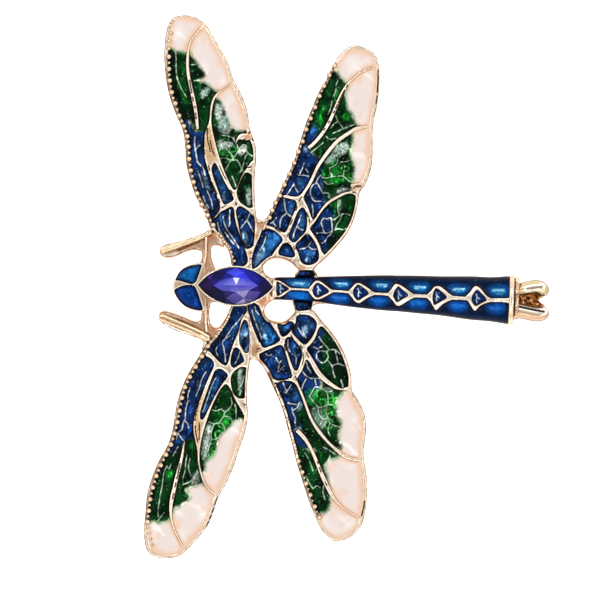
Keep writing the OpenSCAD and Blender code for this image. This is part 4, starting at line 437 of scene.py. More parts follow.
# Fine raised lines under the enamel: wing, width, line
HAIRS = {
 "right_fore": [(1.7,[[175.5,50],[176,58],[176,66],[176.5,73],[177.5,79],[179.5,84],[181.5,89],[184,93],[186.5,97]]),
  (1.4,[[191,64.5],[196,64.5],[199,66]]),(1.9,[[194.5,80.3],[200,80.3],[205,83],[213,87.5],[217,90]]),
  (1.7,[[195,137],[194.5,143],[195.5,150],[196.5,156],[197.5,161],[200,165],[203,167]]),(1.4,[[200,145],[196.5,148],[195.4,150]]),
  (1.6,[[196.5,161],[203,168],[205,175]]),(1.5,[[198,171],[201,180],[203,187]]),
  (1.3,[[207,190],[210,197],[212,203],[212.6,209]]),(1.3,[[203,196],[206,203],[209,208]]),
  (1.5,[[223,216],[224,222],[226,227],[228,231],[231,235],[235,241],[239,248]]),(1.3,[[230,210],[229.5,217],[230,223],[229,226]]),
  (1.3,[[225,232],[229,238],[234,244]]),(1.4,[[217.6,222],[219,229],[222,235],[226,241],[231,248]]),
  (1.5,[[231,160],[227,167],[225.4,170]]),(1.7,[[226,148.6],[231,153.6],[233.4,158],[231,160],[237,160],[241,167],[243,172]]),
  (1.4,[[222,135],[228,136],[234,138]]),(1.5,[[246,145],[246,150],[249,154]]),(1.5,[[246,155],[244,161],[243,166],[240,172]]),
  (1.5,[[246,155],[249,154],[252.6,156]]),(1.3,[[238,150.6],[242,145],[246,145]]),(1.4,[[233,138],[236.6,144],[238,150.6],[233.4,158]]),
  (1.3,[[218,160],[222,158],[226,158],[231,160]]),(1.3,[[232,176],[234.6,182],[236,187]]),
  (1.4,[[250,213],[247,220],[243,225],[241,228]]),(1.2,[[247,220],[250.4,226],[253,231]])],
 "left_fore": [(1.5,[[243,315],[240,319],[236,324],[232,328],[229,333],[226,337]]),
  (1.5,[[230,336],[225,339],[222.5,343],[224,349],[225,356],[225.5,362]]),(1.3,[[217,347],[216,351],[218,356]]),
  (1.6,[[188,401],[186,408],[185.5,414],[185,419],[183,424],[182,430]]),(1.4,[[185,421],[187.6,424],[188.6,428]]),
  (1.6,[[178,433],[181,438],[184,441]]),(1.4,[[184,441],[182.6,447]]),(1.5,[[178,447],[175,452],[173,456]]),(1.5,[[171,464],[169,469],[166.6,466]]),
  (1.6,[[161.5,489],[160,496],[159,503],[158,510],[158,517]]),(1.5,[[164,513],[160,518],[158,521]]),
  (1.9,[[202,484],[196,486],[190,487.5],[186,490],[189,494],[190,498],[188,501],[183,504],[179,507],[174.5,508.6]]),
  (1.4,[[183,485],[191,481],[196,474]]),(1.5,[[221,409],[225,412],[229,409]]),(1.5,[[225,412],[224,416],[229,417],[232,421],[232,426]]),
  (1.5,[[209,422],[214,424],[219,423],[223,425],[225,430]]),(1.4,[[219,423],[224,416]]),(1.5,[[235,405],[236,412],[236,418]]),
  (1.3,[[214,424],[211.4,432],[211.6,440]]),(1.3,[[211.6,440],[216.4,439],[220,436]]),(1.3,[[211.6,440],[208.4,449],[209,456]]),
  (1.3,[[229,409],[232,404],[231,398]]),(1.3,[[221,409],[216.6,411],[212,410]]),(1.3,[[208,432],[211.4,432]]),
  (1.3,[[216,378],[212,386],[203,412]]),(1.2,[[244,376],[242,384],[238,390]]),
  (1.4,[[240,352],[238,358],[235,364]]),(1.4,[[190,388],[188,395],[188,401]]),(1.3,[[182,430],[178,433],[176.6,439]]),
  (1.3,[[187,455],[185.6,463],[185,471],[183,478],[183,485]]),(1.3,[[166.6,466],[163.6,474],[162.6,482],[161.5,489]]),
  (1.2,[[190,459],[188.4,468],[191,476]]),(1.2,[[206,372],[202,379],[199.6,387],[196,396]])],
 "right_hind": [(1.5,[[338,80],[336,85]]),(1.6,[[336.5,87],[335,93],[333,96]]),(1.5,[[336,116],[338,121],[341,125],[343,128]]),
  (2.0,[[333,133],[340,130],[347,127],[354,124.5]]),(1.6,[[304,163],[302,169],[300,173]]),(1.4,[[306,169],[308,172]]),
  (1.8,[[311,152.4],[317,147.6],[323,142.6]]),(1.6,[[297,174],[300,175],[304,175],[308.6,176]]),
  (1.6,[[294,184],[296,189],[298,192]]),(1.5,[[290,190],[288,193],[286.4,195.4]]),(1.5,[[294,184],[290,190]]),
  (1.4,[[332,101],[330.6,108],[328,114]]),(1.3,[[338,121],[333.6,124],[331,128]]),(1.3,[[326,136],[330,139],[336,138]]),
  (1.7,[[284,199],[284.6,204],[285.4,209],[287,213]]),(1.6,[[287,213],[290.6,216],[293,216.6]]),
  (1.6,[[287,213],[282.6,216.4],[280.4,220.6],[280,227]]),(1.4,[[271,223],[274,221],[276.4,217.6]]),(1.3,[[273,222.6],[276,226]]),
  (1.5,[[338,158],[337,163],[334,166]]),(1.6,[[341,162],[348,161],[354,158]]),
  (1.6,[[330,172],[333,176],[337,176],[343,176],[348,180],[352,182]]),(1.5,[[322,177],[326,178],[330,177],[333,176]]),
  (1.5,[[324,181],[328,184],[333,183]]),(1.6,[[316,183],[318,178],[321,175]]),(1.6,[[318,184],[320,188],[323,193]]),
  (1.5,[[323,193],[328,193],[329,197]]),(1.6,[[310,192],[312,198],[315,201],[321,201]]),(1.6,[[312,204],[313,210],[313,216]]),
  (1.4,[[318,184],[316,183],[312,186],[310,192]]),(1.3,[[334,166],[330,168],[330,172]]),(1.4,[[338,158],[341,155],[343,150]]),
  (1.4,[[343,150],[348,148],[351,150]]),(1.4,[[343,150],[339,148.6],[337,145]]),(1.3,[[345,166],[344,171],[343,176]]),
  (1.5,[[321,222],[323,229],[324,232]]),(1.5,[[317,233],[323,232.5],[327,233],[332,231]]),(1.6,[[327,219],[331,218],[332,225],[332,231],[330,235]]),
  (1.5,[[338,200],[338,210],[339,215],[335,219],[331,220]]),(1.5,[[342,214],[340,220],[337,224],[335,230]]),
  (1.5,[[335,230],[338,228.5],[343,229.5],[347,228]]),(1.6,[[328,236],[325,241],[322,243]]),(1.4,[[330,235],[328,236]]),
  (1.4,[[321,222],[323.6,218],[327,219]]),(1.3,[[339,215],[345,213.6],[350,215]]),
  (1.6,[[311,242],[308,246],[305,248],[300,249]]),(1.5,[[301,215],[299,221],[297,226],[294,233],[293,238]]),
  (1.3,[[297,226],[300,229],[303,229.6]]),(1.3,[[266,236],[264,243],[260,250]]),(1.3,[[308,246],[312,249],[316,249]])],
 "left_hind": [(1.6,[[283,383],[285,388],[287,391],[290,387],[291,385]]),(1.5,[[287,391],[286,393],[284,392]]),
  (2.0,[[288,403],[291,404],[296,404.5]]),(1.4,[[299,403],[297,408],[293.6,410]]),(1.5,[[292,408],[293,413],[295,418],[295,422],[295.6,426]]),
  (1.5,[[305,453],[308,458],[311,465],[313,471]]),(1.7,[[323,447],[330,451],[336,455]]),(1.6,[[330,456],[328,461],[325,465]]),
  (1.6,[[324,485],[323,492],[325,500]]),(1.4,[[306,476],[309,483],[313,489]]),(1.3,[[313,489],[317,486],[320,488]]),
  (1.6,[[306,362],[308,368],[311,373]]),(1.5,[[303,372],[306,376],[311,378.5],[316,378.5],[321,378]]),
  (1.5,[[306,379],[303,385],[302,389]]),(1.5,[[315,380],[316,385]]),(1.5,[[315,387],[312,392],[309,397]]),
  (1.6,[[323,407],[328,405],[333,405]]),(1.6,[[326,413],[328,418],[330,423],[335,426],[340,427]]),
  (1.4,[[315,387],[321,388],[327,392],[332,391]]),(1.4,[[309,397],[314,402],[318,407],[323,407]]),
  (1.4,[[318,407],[319,414],[323,419],[328,418]]),(1.3,[[330,423],[328,430],[330,436]]),(1.3,[[323,419],[320,425]]),
  (1.3,[[327,392],[328,398],[328,405]]),
  (1.6,[[319,337],[322,342],[325,345],[329,350]]),(1.6,[[314,347],[318,349],[321,347],[324,345]]),
  (1.6,[[319,351],[326,352],[328,358],[323,363],[317,359],[317,353],[319,351]]),(1.5,[[328,361],[332,366],[333,372],[335,378]]),
  (1.5,[[341,380],[343,387]]),(1.4,[[329,350],[326,352]]),(1.3,[[329,350],[335,350],[340,354]]),(1.3,[[332,366],[338,364],[344,366]]),
  (1.3,[[338,364],[337,358],[335,350]]),(1.5,[[298,328],[301,333],[304,337]]),(1.4,[[302,331],[306,338]]),
  (1.6,[[266,354],[269,356],[272,354]]),(1.6,[[276,358],[279,363],[281,361]]),(1.5,[[279,363],[279,366],[278,372]]),
  (1.4,[[284,366],[281,369],[279,372]]),(1.5,[[288,340],[288,347],[290,352]]),(1.5,[[292,354],[296,357],[296,364]]),
  (1.5,[[252,310],[254,318],[257,326],[260,334],[262,340]]),(1.4,[[255,307],[256,311],[259,315]])]}

# Tail: the raised outline round each diamond, and the opening for its enamel
DIAMONDS = [
  ([[274.6,281.6],[276.4,280.2],[280,280.8],[284.6,283.6],[289,286.6],[293,288.9],[289,291.4],[285,294.4],[280.6,297],[276.4,297.2],[274.6,295.8]],
   [[276.7,282.6],[279.2,282.6],[284,285.4],[288.7,288.8],[284.6,291.6],[280.2,294.6],[276.9,295]]),
  ([[308,290],[311.5,285],[314,281.8],[317.5,280.4],[321,281.7],[325,284.5],[330,288.4],[334.6,291.2],[328.4,295],[322.4,298.2],[318,299.5],[314.3,299],[311.2,295.6]],
   [[312.6,290.2],[314.5,285.2],[317.6,283],[322,285],[328.8,291.1],[324,294.6],[318,297.4],[314.5,295.6]]),
  ([[348,292.2],[352,287],[355,283.8],[359,282.9],[363,284.7],[368,287.8],[372.4,291.2],[377,293.6],[368,297.7],[363,301],[359,303.2],[355,301.7],[352,298]],
   [[353,292],[355,287.4],[358,285],[362,287],[368.5,293],[363.5,297],[358.8,300],[355.4,298.4]]),
  ([[387.4,294.4],[391,289],[395,283.9],[400,284.9],[405,287.9],[409.6,291.2],[416,295.9],[411,299.2],[406,302.2],[400,305.6],[396,305.2],[392.4,300.6]],
   [[393.2,294.5],[397.8,286.8],[403,290.6],[408,295.2],[402.6,298.8],[396.7,302],[394.6,298.4]]),
  ([[426,296.4],[431,290.3],[434,286.9],[438,285.9],[442,287.4],[446.4,291],[450.8,294.6],[456,297.8],[450,300.6],[447,301.8],[442,304.8],[436,310.2],[433,306.6],[430,301.4]],
   [[432.5,296],[434,291],[436.2,288.4],[440.4,291],[446.6,297],[442,300.5],[437,303.5],[434,304.4],[432.7,300]]),
  ([[464,298.4],[470,291.8],[472.5,287.9],[476,285.9],[480.4,288.4],[486,295],[490.6,298.2],[495,300.4],[490,302.2],[486,303.2],[480,306],[474.6,310.9],[471,306.6],[467.6,301.2]],
   [[471.4,298],[474,292.6],[477.2,290],[481.6,294],[486.3,299.7],[481,303],[475.5,305.7],[472.6,302.6]])]
TAIL_LINE = [[284,288.7,2.4],[300,289.3,2.2],[309,289.9,2.4],[331,291,2.6],[341,291.4,2.4],[350,292.3,2.8],[371,293.5,2.8],
  [382,293.9,2.8],[390,294.6,3.2],[411,295.7,3.8],[420,295.9,3.6],[429.6,296.4,3.8],[450,297.6,4.2],[460,298.2,3.8],
  [468,298.7,4],[490,300,4.2],[500,300.1,4],[506,300.3,4.6],[512,300.4,7]]
# Painted highlights on the tail's enamel
TAIL_LIGHTS = [[[333,282.4],[340,281.8],[348,283.4],[346,287.4],[338,287.2]],[[373,283.6],[381,283],[389,284.6],[386,288.4],[377,288]],
  [[412,286],[419,285],[427,286.6],[424,291],[415,291]],[[450,288],[458,287],[467,288.6],[464,293],[454,292.6]],
  [[490,289],[497,287.6],[506,289],[504,295],[494,294.6]],[[289,281.6],[300,280.4],[310,282.4],[308,288],[297,287.2],[290,285]],
  [[288,291.6],[297,291.4],[309,293],[308,300],[298,299.4],[290,296.6]],
  [[330,295.6],[338,295],[347,296.6],[345,300.6],[336,300.6]],[[370,298],[379,297.4],[387,299],[384,303],[375,303.4]],
  [[408,300.4],[417,299.6],[426,301],[423,305.4],[413,305.6]],[[450,303],[457,302.4],[465,304],[462,308.4],[453,308.4]],
  [[488,306],[495,305],[502,306.6],[500,311],[491,311]]]

# ---- colours ----
def srgb(r, g, b):
    def f(c):
        c /= 255.0
        return c / 12.92 if c <= 0.04045 else ((c + 0.055) / 1.055) ** 2.4
    return np.array([f(r), f(g), f(b)])

# name: (middle of a pool, beside a wall, how much of a dark glass it is); the colour beside a wall is darker, or warmer
# for the blush, partly as deeper enamel at the wall's foot and partly as painted shade
GLASS = {
  "green": (srgb(3, 42, 12), srgb(0, 4, 1), 1.0),
  "deep": (srgb(1, 18, 5), srgb(0, 4, 1), 1.0),
  # lightgreen and lightblue are painted highlights, pale and paleblue painted reflections
  "lightgreen": (srgb(14, 124, 32), srgb(2, 36, 10), 1.0),
  "blue": (srgb(9, 36, 80), srgb(0, 2, 11), 1.0),
  "lightblue": (srgb(38, 84, 130), srgb(4, 16, 46), 1.0),
  "steel": (srgb(28, 84, 138), srgb(2, 14, 44), 1.0),
  "paleblue": (srgb(118, 154, 178), srgb(26, 60, 104), 0.9),
  "pale": (srgb(154, 176, 166), srgb(24, 74, 42), 0.38),
  "smoke": (srgb(84, 108, 94), srgb(14, 40, 24), 0.7),
  "blush": (srgb(209, 196, 190), srgb(211, 175, 148), 0.0)}
CREAM, TAN, BROWN, PEACH = srgb(244, 231, 212), srgb(188, 142, 100), srgb(40, 21, 10), srgb(214, 182, 152)
# WALL is the colour of the metal's side walls and floors, darker than the tops as painted shade
WALL = srgb(206, 168, 130)
ROSE, STRAW, EMBER = srgb(214, 182, 152), srgb(222, 200, 166), srgb(214, 132, 76)

# ---- plan curves, in chart steps ----
def smooth(q, n):
    q = np.asarray(q, float)
    m, out = len(q), []
    for i in range(m):
        a, b, c, d = q[i - 1], q[i], q[(i + 1) % m], q[(i + 2) % m]
        for t in np.arange(n) / n:
            out.append(0.5 * (2 * b + (c - a) * t + (2 * a - 5 * b + 4 * c - d) * t * t + (3 * b - a - 3 * c + d) * t ** 3))
    return np.array(out)

def smooth_open(q, n):
    q = np.asarray(q, float)
    m, out = len(q), []
    for i in range(m - 1):
        a, b, c, d = q[max(i - 1, 0)], q[i], q[i + 1], q[min(i + 2, m - 1)]
        for t in np.arange(n) / n:
            out.append(0.5 * (2 * b + (c - a) * t + (2 * a - 5 * b + 4 * c - d) * t * t + (3 * b - a - 3 * c + d) * t ** 3))
    out.append(q[-1])
    return np.array(out)

def unit(v):
    return v / np.maximum(np.linalg.norm(v, axis=-1, keepdims=True), 1e-9)

def winding(p):
    x, y = p[:, 0], p[:, 1]
    return np.sign(np.sum(x * np.roll(y, -1) - np.roll(x, -1) * y))

def inset_rim(q):
    t = winding(q) * unit(np.roll(q[:, :2], -1, 0) - np.roll(q[:, :2], 1, 0))
    return np.stack([q[:, 0] - t[:, 1] * q[:, 2], q[:, 1] + t[:, 0] * q[:, 2]], 1)

def ribbon(q):
    ahead = np.concatenate([q[1:, :2], q[-1:, :2]])
    behind = np.concatenate([q[:1, :2], q[:-1, :2]])
    t, w = unit(ahead - behind), q[:, 2:3] / 2
    n = np.stack([-t[:, 1], t[:, 0]], 1)
    return np.concatenate([q[:, :2] + n * w, (q[:, :2] - n * w)[::-1]])

def at(p):
    p = np.asarray(p, float)
    u, v = p[..., 0] - 235.5, p[..., 1] - 286.5
    return np.stack([MM * (u * math.cos(TURN) + v * math.sin(TURN)), MM * (u * math.sin(TURN) - v * math.cos(TURN))], -1)

def tilt(a, side):
    return np.stack([a[..., 0], (a[..., 1] - side * TOP * math.sin(DROOP)) / math.cos(DROOP)], -1)

def lay(p, side):
    return tilt(at(p), side)

def flat(q):
    return [p[:2] for p in q]

EDGE_PTS = at([p[:2] for q in (RIGHT_FORE_EDGE, LEFT_FORE_EDGE, RIGHT_HIND_EDGE, LEFT_HIND_EDGE, RIGHT_LOBE, LEFT_LOBE,
                               RIGHT_METAL[0][1], LEFT_METAL[0][1]) for p in q])
MID = (EDGE_PTS.max(0) + EDGE_PTS.min(0)) / 2
BACK_Z = np.abs(EDGE_PTS[:, 1]).max() * math.tan(DROOP)
BASE_Z = BACK_Z - 0.28
CUP_Z, SPRING_Z = BASE_Z + CUP_H, BASE_Z + TAIL_EDGE

def world(x, y, z, side):
    """A place on a drooping plate, in the row frame, in mm."""
    c, s = math.cos(DROOP), math.sin(DROOP)
    return np.stack([x - MID[0], y * c + side * z * s - MID[1], BACK_Z - side * y * s + z * c], -1)

def level(x, y, z, side=0):
    """A place over the plain plan."""
    return np.stack([x - MID[0], y - MID[1], z + 0 * x], -1)

# ---- distances on a grid ----
class Grid:
    def __init__(self, pts, pad, pitch):
        lo, hi = pts.min(0) - pad, pts.max(0) + pad
        self.h, self.o = pitch, lo
        self.nx, self.ny = int((hi[0] - lo[0]) / pitch) + 2, int((hi[1] - lo[1]) / pitch) + 2
        self.x, self.y = lo[0] + pitch * np.arange(self.nx), lo[1] + pitch * np.arange(self.ny)
        self.X, self.Y = np.meshgrid(self.x, self.y)

    def near(self, p, reach, closed):
        """Distance to a line, up to a reach."""
        out = np.full((self.ny, self.nx), float(reach))
        q = np.roll(p, -1, 0) if closed else p[1:]
        for a, b in zip(p, q):
            lo = np.floor((np.minimum(a, b) - reach - self.o) / self.h).astype(int)
            hi = np.ceil((np.maximum(a, b) + reach - self.o) / self.h).astype(int) + 1
            x0, y0, x1, y1 = max(lo[0], 0), max(lo[1], 0), min(hi[0], self.nx), min(hi[1], self.ny)
            if x0 >= x1 or y0 >= y1:
                continue
            X, Y = self.X[y0:y1, x0:x1] - a[0], self.Y[y0:y1, x0:x1] - a[1]
            d = b - a
            t = np.clip((X * d[0] + Y * d[1]) / max(d @ d, 1e-12), 0, 1)
            w = out[y0:y1, x0:x1]
            np.minimum(w, np.hypot(X - t * d[0], Y - t * d[1]), out=w)
        return out

    def inside(self, p):
        flips = np.zeros((self.ny, self.nx + 1), int)
        for a, b in zip(p, np.roll(p, -1, 0)):
            if a[1] == b[1]:
                continue
            lo, hi = sorted((a[1], b[1]))
            j = np.arange(max(int(np.ceil((lo - self.o[1]) / self.h)), 0), min(int(np.ceil((hi - self.o[1]) / self.h)), self.ny))
            if len(j) == 0:
                continue
            xc = a[0] + (self.y[j] - a[1]) * (b[0] - a[0]) / (b[1] - a[1])
            i = np.clip(np.ceil((xc - self.o[0]) / self.h).astype(int), 0, self.nx)
            np.add.at(flips, (j, i), 1)
        return (np.cumsum(flips, 1)[:, :-1] % 2) == 1

    def sd(self, p, reach=0.9):
        """Distance inside an outline, negative outside."""
        d = self.near(p, reach, True)
        return np.where(self.inside(p), d, -d)

def sd_points(P, poly):
    """Distance inside an outline at scattered places."""
    best, odd = np.full(len(P), 1e9), np.zeros(len(P), bool)
    for a, b in zip(poly, np.roll(poly, -1, 0)):
        d, v = b - a, P - a
        t = np.clip((v @ d) / max(d @ d, 1e-12), 0, 1)
        best = np.minimum(best, np.hypot(v[:, 0] - t * d[0], v[:, 1] - t * d[1]))
        cross = (a[1] <= P[:, 1]) != (b[1] <= P[:, 1])
        if a[1] != b[1]:
            odd ^= cross & (P[:, 0] < a[0] + (P[:, 1] - a[1]) * (b[0] - a[0]) / (b[1] - a[1]))
    return np.where(odd, best, -best)

def line_points(P, line):
    best = np.full(len(P), 1e9)
    for a, b in zip(line, line[1:]):
        d, v = b - a, P - a
        t = np.clip((v @ d) / max(d @ d, 1e-12), 0, 1)
        best = np.minimum(best, np.hypot(v[:, 0] - t * d[0], v[:, 1] - t * d[1]))
    return best

def step(a, b, x):
    t = np.clip((x - a) / (b - a), 0, 1)
    return t * t * (3 - 2 * t)

def grown(mask, k):
    for _ in range(k):
        m = mask.copy()
        m[1:] |= mask[:-1]; m[:-1] |= mask[1:]
        mask = m.copy()
        mask[:, 1:] |= m[:, :-1]; mask[:, :-1] |= m[:, 1:]
    return mask

def opened(S, thin, k):
    """The field without its slivers thinner than twice thin."""
    return np.where(grown(S > thin, k), S, np.minimum(S, -0.02))

def waves(X, Y, size, seed):
    """Smooth unevenness between -1 and 1, the same each run."""
    out = 0
    for k in range(5):
        a = seed * 1.7 + k * 2.39996
        f = 2 * math.pi / size * (0.75 + 0.22 * k)
        out = out + np.sin(f * (X * math.cos(a) + Y * math.sin(a)) + 1.3 * k + seed)
    return out / 5

# ---- a smooth-edged sheet cut from a grid where a field is positive ----
CASES = {1: ["c0 e0 e3"], 2: ["c1 e1 e0"], 3: ["c0 c1 e1 e3"], 4: ["c2 e2 e1"], 5: ["c0 e0 e3", "c2 e2 e1"], 6: ["c1 c2 e2 e0"],
  7: ["c0 c1 c2 e2 e3"], 8: ["c3 e3 e2"], 9: ["c0 e0 e2 c3"], 10: ["c1 e1 e0", "c3 e3 e2"], 11: ["c0 c1 e1 e2 c3"],
  12: ["c2 c3 e3 e1"], 13: ["c0 e0 e1 c2 c3"], 14: ["c1 c2 c3 e3 e0"], 15: ["c0 c1 c2 c3"]}

class Sheet:
    def __init__(self, S, eps):
        S = np.where(np.abs(S) < eps, np.where(S > 0, eps, -eps), S)
        ny, nx = S.shape
        ins = S > 0
        ids = {"n": np.full((ny, nx), -1), "h": np.full((ny, nx - 1), -1), "v": np.full((ny - 1, nx), -1)}
        flat_id = np.arange(ny * nx).reshape(ny, nx)
        a = [flat_id[ins]]
        b = [flat_id[ins]]
        t = [np.zeros(ins.sum())]
        ids["n"][ins] = np.arange(ins.sum())
        count = int(ins.sum())
        for key, A, B, FA, FB in (("h", S[:, :-1], S[:, 1:], flat_id[:, :-1], flat_id[:, 1:]),
                                  ("v", S[:-1], S[1:], flat_id[:-1], flat_id[1:])):
            cut = (A > 0) != (B > 0)
            n = int(cut.sum())
            ids[key][cut] = count + np.arange(n)
            count += n
            a.append(FA[cut]); b.append(FB[cut]); t.append(A[cut] / (A[cut] - B[cut]))
        self.a, self.b, self.t = np.concatenate(a), np.concatenate(b), np.concatenate(t)
        code = ins[:-1, :-1] + 2 * ins[:-1, 1:] + 4 * ins[1:, 1:] + 8 * ins[1:, :-1]
        tris, segs = [], []
        for k, polys in CASES.items():
            j, i = np.nonzero(code == k)
            if len(j) == 0:
                continue
            v = {"c0": ids["n"][j, i], "c1": ids["n"][j, i + 1], "c2": ids["n"][j + 1, i + 1], "c3": ids["n"][j + 1, i],
                 "e0": ids["h"][j, i], "e1": ids["v"][j, i + 1], "e2": ids["h"][j + 1, i], "e3": ids["v"][j, i]}
            for poly in polys:
                names = poly.split()
                for m in range(1, len(names) - 1):
                    tris.append(np.stack([v[names[0]], v[names[m]], v[names[m + 1]]], 1))
                for m in range(len(names)):
                    p, q = names[m], names[(m + 1) % len(names)]
                    if p[0] == "e" and q[0] == "e":
                        segs.append(np.stack([v[p], v[q]], 1))
        self.tris = np.concatenate(tris)
        segs = np.concatenate(segs) if segs else np.zeros((0, 2), int)
        nxt = dict(zip(segs[:, 0].tolist(), segs[:, 1].tolist()))
        self.loops = []
        while nxt:
            first, v = next(iter(nxt.items()))
            loop = [first]
            del nxt[first]
            while v != first:
                loop.append(v)
                v = nxt.pop(v)
            self.loops.append(np.array(loop))
        self.n = count

    def take(self, F):
        f = F.reshape(-1, *F.shape[2:])
        t = self.t.reshape(-1, *([1] * (f.ndim - 1)))
        return f[self.a] * (1 - t) + f[self.b] * t

def loop_area(p):
    return 0.5 * np.sum(p[:, 0] * np.roll(p[:, 1], -1) - np.roll(p[:, 0], -1) * p[:, 1])

def cap(loops, xy, up):
    """Triangles that fill outlines (the first with the others as its holes), facing up or down."""
    order = np.concatenate(loops)
    rings = [[Vector((float(x) * 10, float(y) * 10, 0)) for x, y in xy[l]] for l in loops]
    tri = np.array(tessellate_polygon(rings), int).reshape(-1, 3)
    tri = order[tri]
    p = xy[tri]
    area = (p[:, 1, 0] - p[:, 0, 0]) * (p[:, 2, 1] - p[:, 0, 1]) - (p[:, 1, 1] - p[:, 0, 1]) * (p[:, 2, 0] - p[:, 0, 0])
    turn = (area < 0) if up else (area > 0)
    tri[turn] = tri[turn][:, ::-1]
    return tri

class Build:
    """Gathers closed shells, in mm in the row frame, into one mesh."""
    def __init__(self):
        self.v, self.f, self.c, self.k, self.n = [], [], [], [], 0

    def add(self, verts, tris, colour, wall_shade=None):
        """The last argument marks the side walls and floors, which take WALL, the metal darkened as painted shade,
        instead of their corners' colour.
        """
        self.k.append(np.zeros(len(tris), bool) if wall_shade is None else wall_shade)
        colour = np.broadcast_to(np.asarray(colour, float), (len(verts), 4)) if np.ndim(colour) == 1 else colour
        self.v.append(np.asarray(verts, float)); self.f.append(np.asarray(tris, int) + self.n); self.c.append(colour)
        self.n += len(verts)

    def object(self, name, material, sharp=40, replaces=(), slot="metal"):
        v, f, c = np.concatenate(self.v) / 1000, np.concatenate(self.f), np.concatenate(self.c)
        v = np.clip(v, *CAD_BOX)
        mesh = bpy.data.meshes.new(name)
        mesh.vertices.add(len(v)); mesh.loops.add(f.size); mesh.polygons.add(len(f))
        mesh.vertices.foreach_set("co", v.astype(np.float32).ravel())
        mesh.loops.foreach_set("vertex_index", f.astype(np.int32).ravel())
        mesh.polygons.foreach_set("loop_start", np.arange(0, f.size, 3, dtype=np.int32))
        mesh.polygons.foreach_set("use_smooth", np.ones(len(f), bool))
        mesh.update(calc_edges=True)
        shades = c[f.ravel()].reshape(len(f), 3, 4)
        # the side walls and floors take WALL, a painted shade
        if slot == "metal":
            shades[np.concatenate(self.k)] = (*WALL, 1.0)
        tint = mesh.attributes.new("tint", "FLOAT_COLOR", "CORNER")
        tint.data.foreach_set("color", shades.astype(np.float32).ravel())
        if sharp is not None:
            mesh.set_sharp_from_angle(angle=math.radians(sharp))
        mesh.materials.append(material)
        o = bpy.data.objects.new(name, mesh)
        bpy.context.scene.collection.objects.link(o)
        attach(o, "root")
        if replaces:
            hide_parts(*replaces)
        TALLY[name] = len(f)
        return o

TALLY = {}

def relief(build, sheet, x, y, z, colour, floor_of, place, side):
    """A closed shell: the sheet on top, walls down to each loop's floor, and the floors themselves.
    floor_of(loop) gives the floor's height and whether it faces up."""
    top = place(x, y, z, side)
    verts, cols, tris, n = [top], [colour], [sheet.tris], len(top)
    down, holes, outers = [], [], []
    xy = np.stack([x, y], 1)
    for loop in sheet.loops:
        zf, up = floor_of(loop)
        low = place(x[loop], y[loop], np.full(len(loop), float(zf)), side)
        ids = n + np.arange(len(loop))
        verts.append(low)
        cols.append(colour[loop])
        n += len(loop)
        a, b, a2, b2 = loop, np.roll(loop, -1), ids, np.roll(ids, -1)
        tris += [np.stack([b, a, a2], 1), np.stack([b, a2, b2], 1)]
        if up:
            ring = np.zeros((n, 2)); ring[ids] = xy[loop]
            tris.append(cap([ids], ring, True))
        else:
            (outers if loop_area(xy[loop]) > 0 else holes).append((ids, xy[loop]))
    for ids, p in outers:
        mine = [(i, q) for i, q in holes if len(outers) == 1 or sd_points(q[:1], p)[0] > 0]
        ring = np.zeros((n, 2)); ring[ids] = p
        for i, q in mine:
            ring[i] = q
        tris.append(cap([ids] + [i for i, q in mine], ring, False))
    build.add(np.concatenate(verts), np.concatenate(tris), np.concatenate(cols), np.arange(sum(map(len, tris))) >= len(sheet.tris))

# ---- materials ----
def nodes_of(name):
    m = bpy.data.materials.new(name)
    m.use_nodes = True
    nt = m.node_tree
    nt.nodes.clear()
    out = nt.nodes.new("ShaderNodeOutputMaterial")
    b = nt.nodes.new("ShaderNodeBsdfPrincipled")
    nt.links.new(b.outputs[0], out.inputs[0])
    return m, nt, b

def noise(nt, scale, detail=2.0, rough=0.5, kind="ShaderNodeTexNoise", stretch=None):
    co = nt.nodes.new("ShaderNodeTexCoord")
    place = co.outputs["Object"]
    if stretch:
        mapping = nt.nodes.new("ShaderNodeMapping")
        mapping.inputs["Scale"].default_value = stretch
        nt.links.new(place, mapping.inputs["Vector"])
        place = mapping.outputs[0]
    t = nt.nodes.new(kind)
    t.inputs["Scale"].default_value = scale
    if kind == "ShaderNodeTexNoise":
        t.inputs["Detail"].default_value = detail
        t.inputs["Roughness"].default_value = rough
    nt.links.new(place, t.inputs["Vector"])
    return t

def ramp(nt, source, stops):
    r = nt.nodes.new("ShaderNodeValToRGB")
    el = r.color_ramp.elements
    while len(el) < len(stops):
        el.new(0.5)
    for e, (p, v) in zip(el, stops):
        e.position = p
        e.color = (v, v, v, 1) if np.isscalar(v) else (*v, 1)
    nt.links.new(source, r.inputs[0])
    return r.outputs[0]

def mixed(nt, kind, a, b, fac=1.0):
    m = nt.nodes.new("ShaderNodeMix")
    m.data_type = "RGBA"
    m.blend_type = kind
    for socket, v in ((m.inputs[0], fac), (m.inputs[6], a), (m.inputs[7], b)):
        if hasattr(v, "is_output"):
            nt.links.new(v, socket)
        elif np.isscalar(v):
            socket.default_value = v
        else:
            socket.default_value = (*v[:3], 1)
    return m.outputs[2]

def bump(nt, bsdf, parts):
    last = None
    for height, strength, dist in parts:
        b = nt.nodes.new("ShaderNodeBump")
        if hasattr(strength, "is_output"):
            nt.links.new(strength, b.inputs["Strength"])
        else:
            b.inputs["Strength"].default_value = strength
        b.inputs["Distance"].default_value = dist
        nt.links.new(height, b.inputs["Height"])
        if last:
            nt.links.new(last, b.inputs["Normal"])
        last = b.outputs[0]
    nt.links.new(last, bsdf.inputs["Normal"])

def tint(nt):
    a = nt.nodes.new("ShaderNodeAttribute")
    a.attribute_name = "tint"
    return a

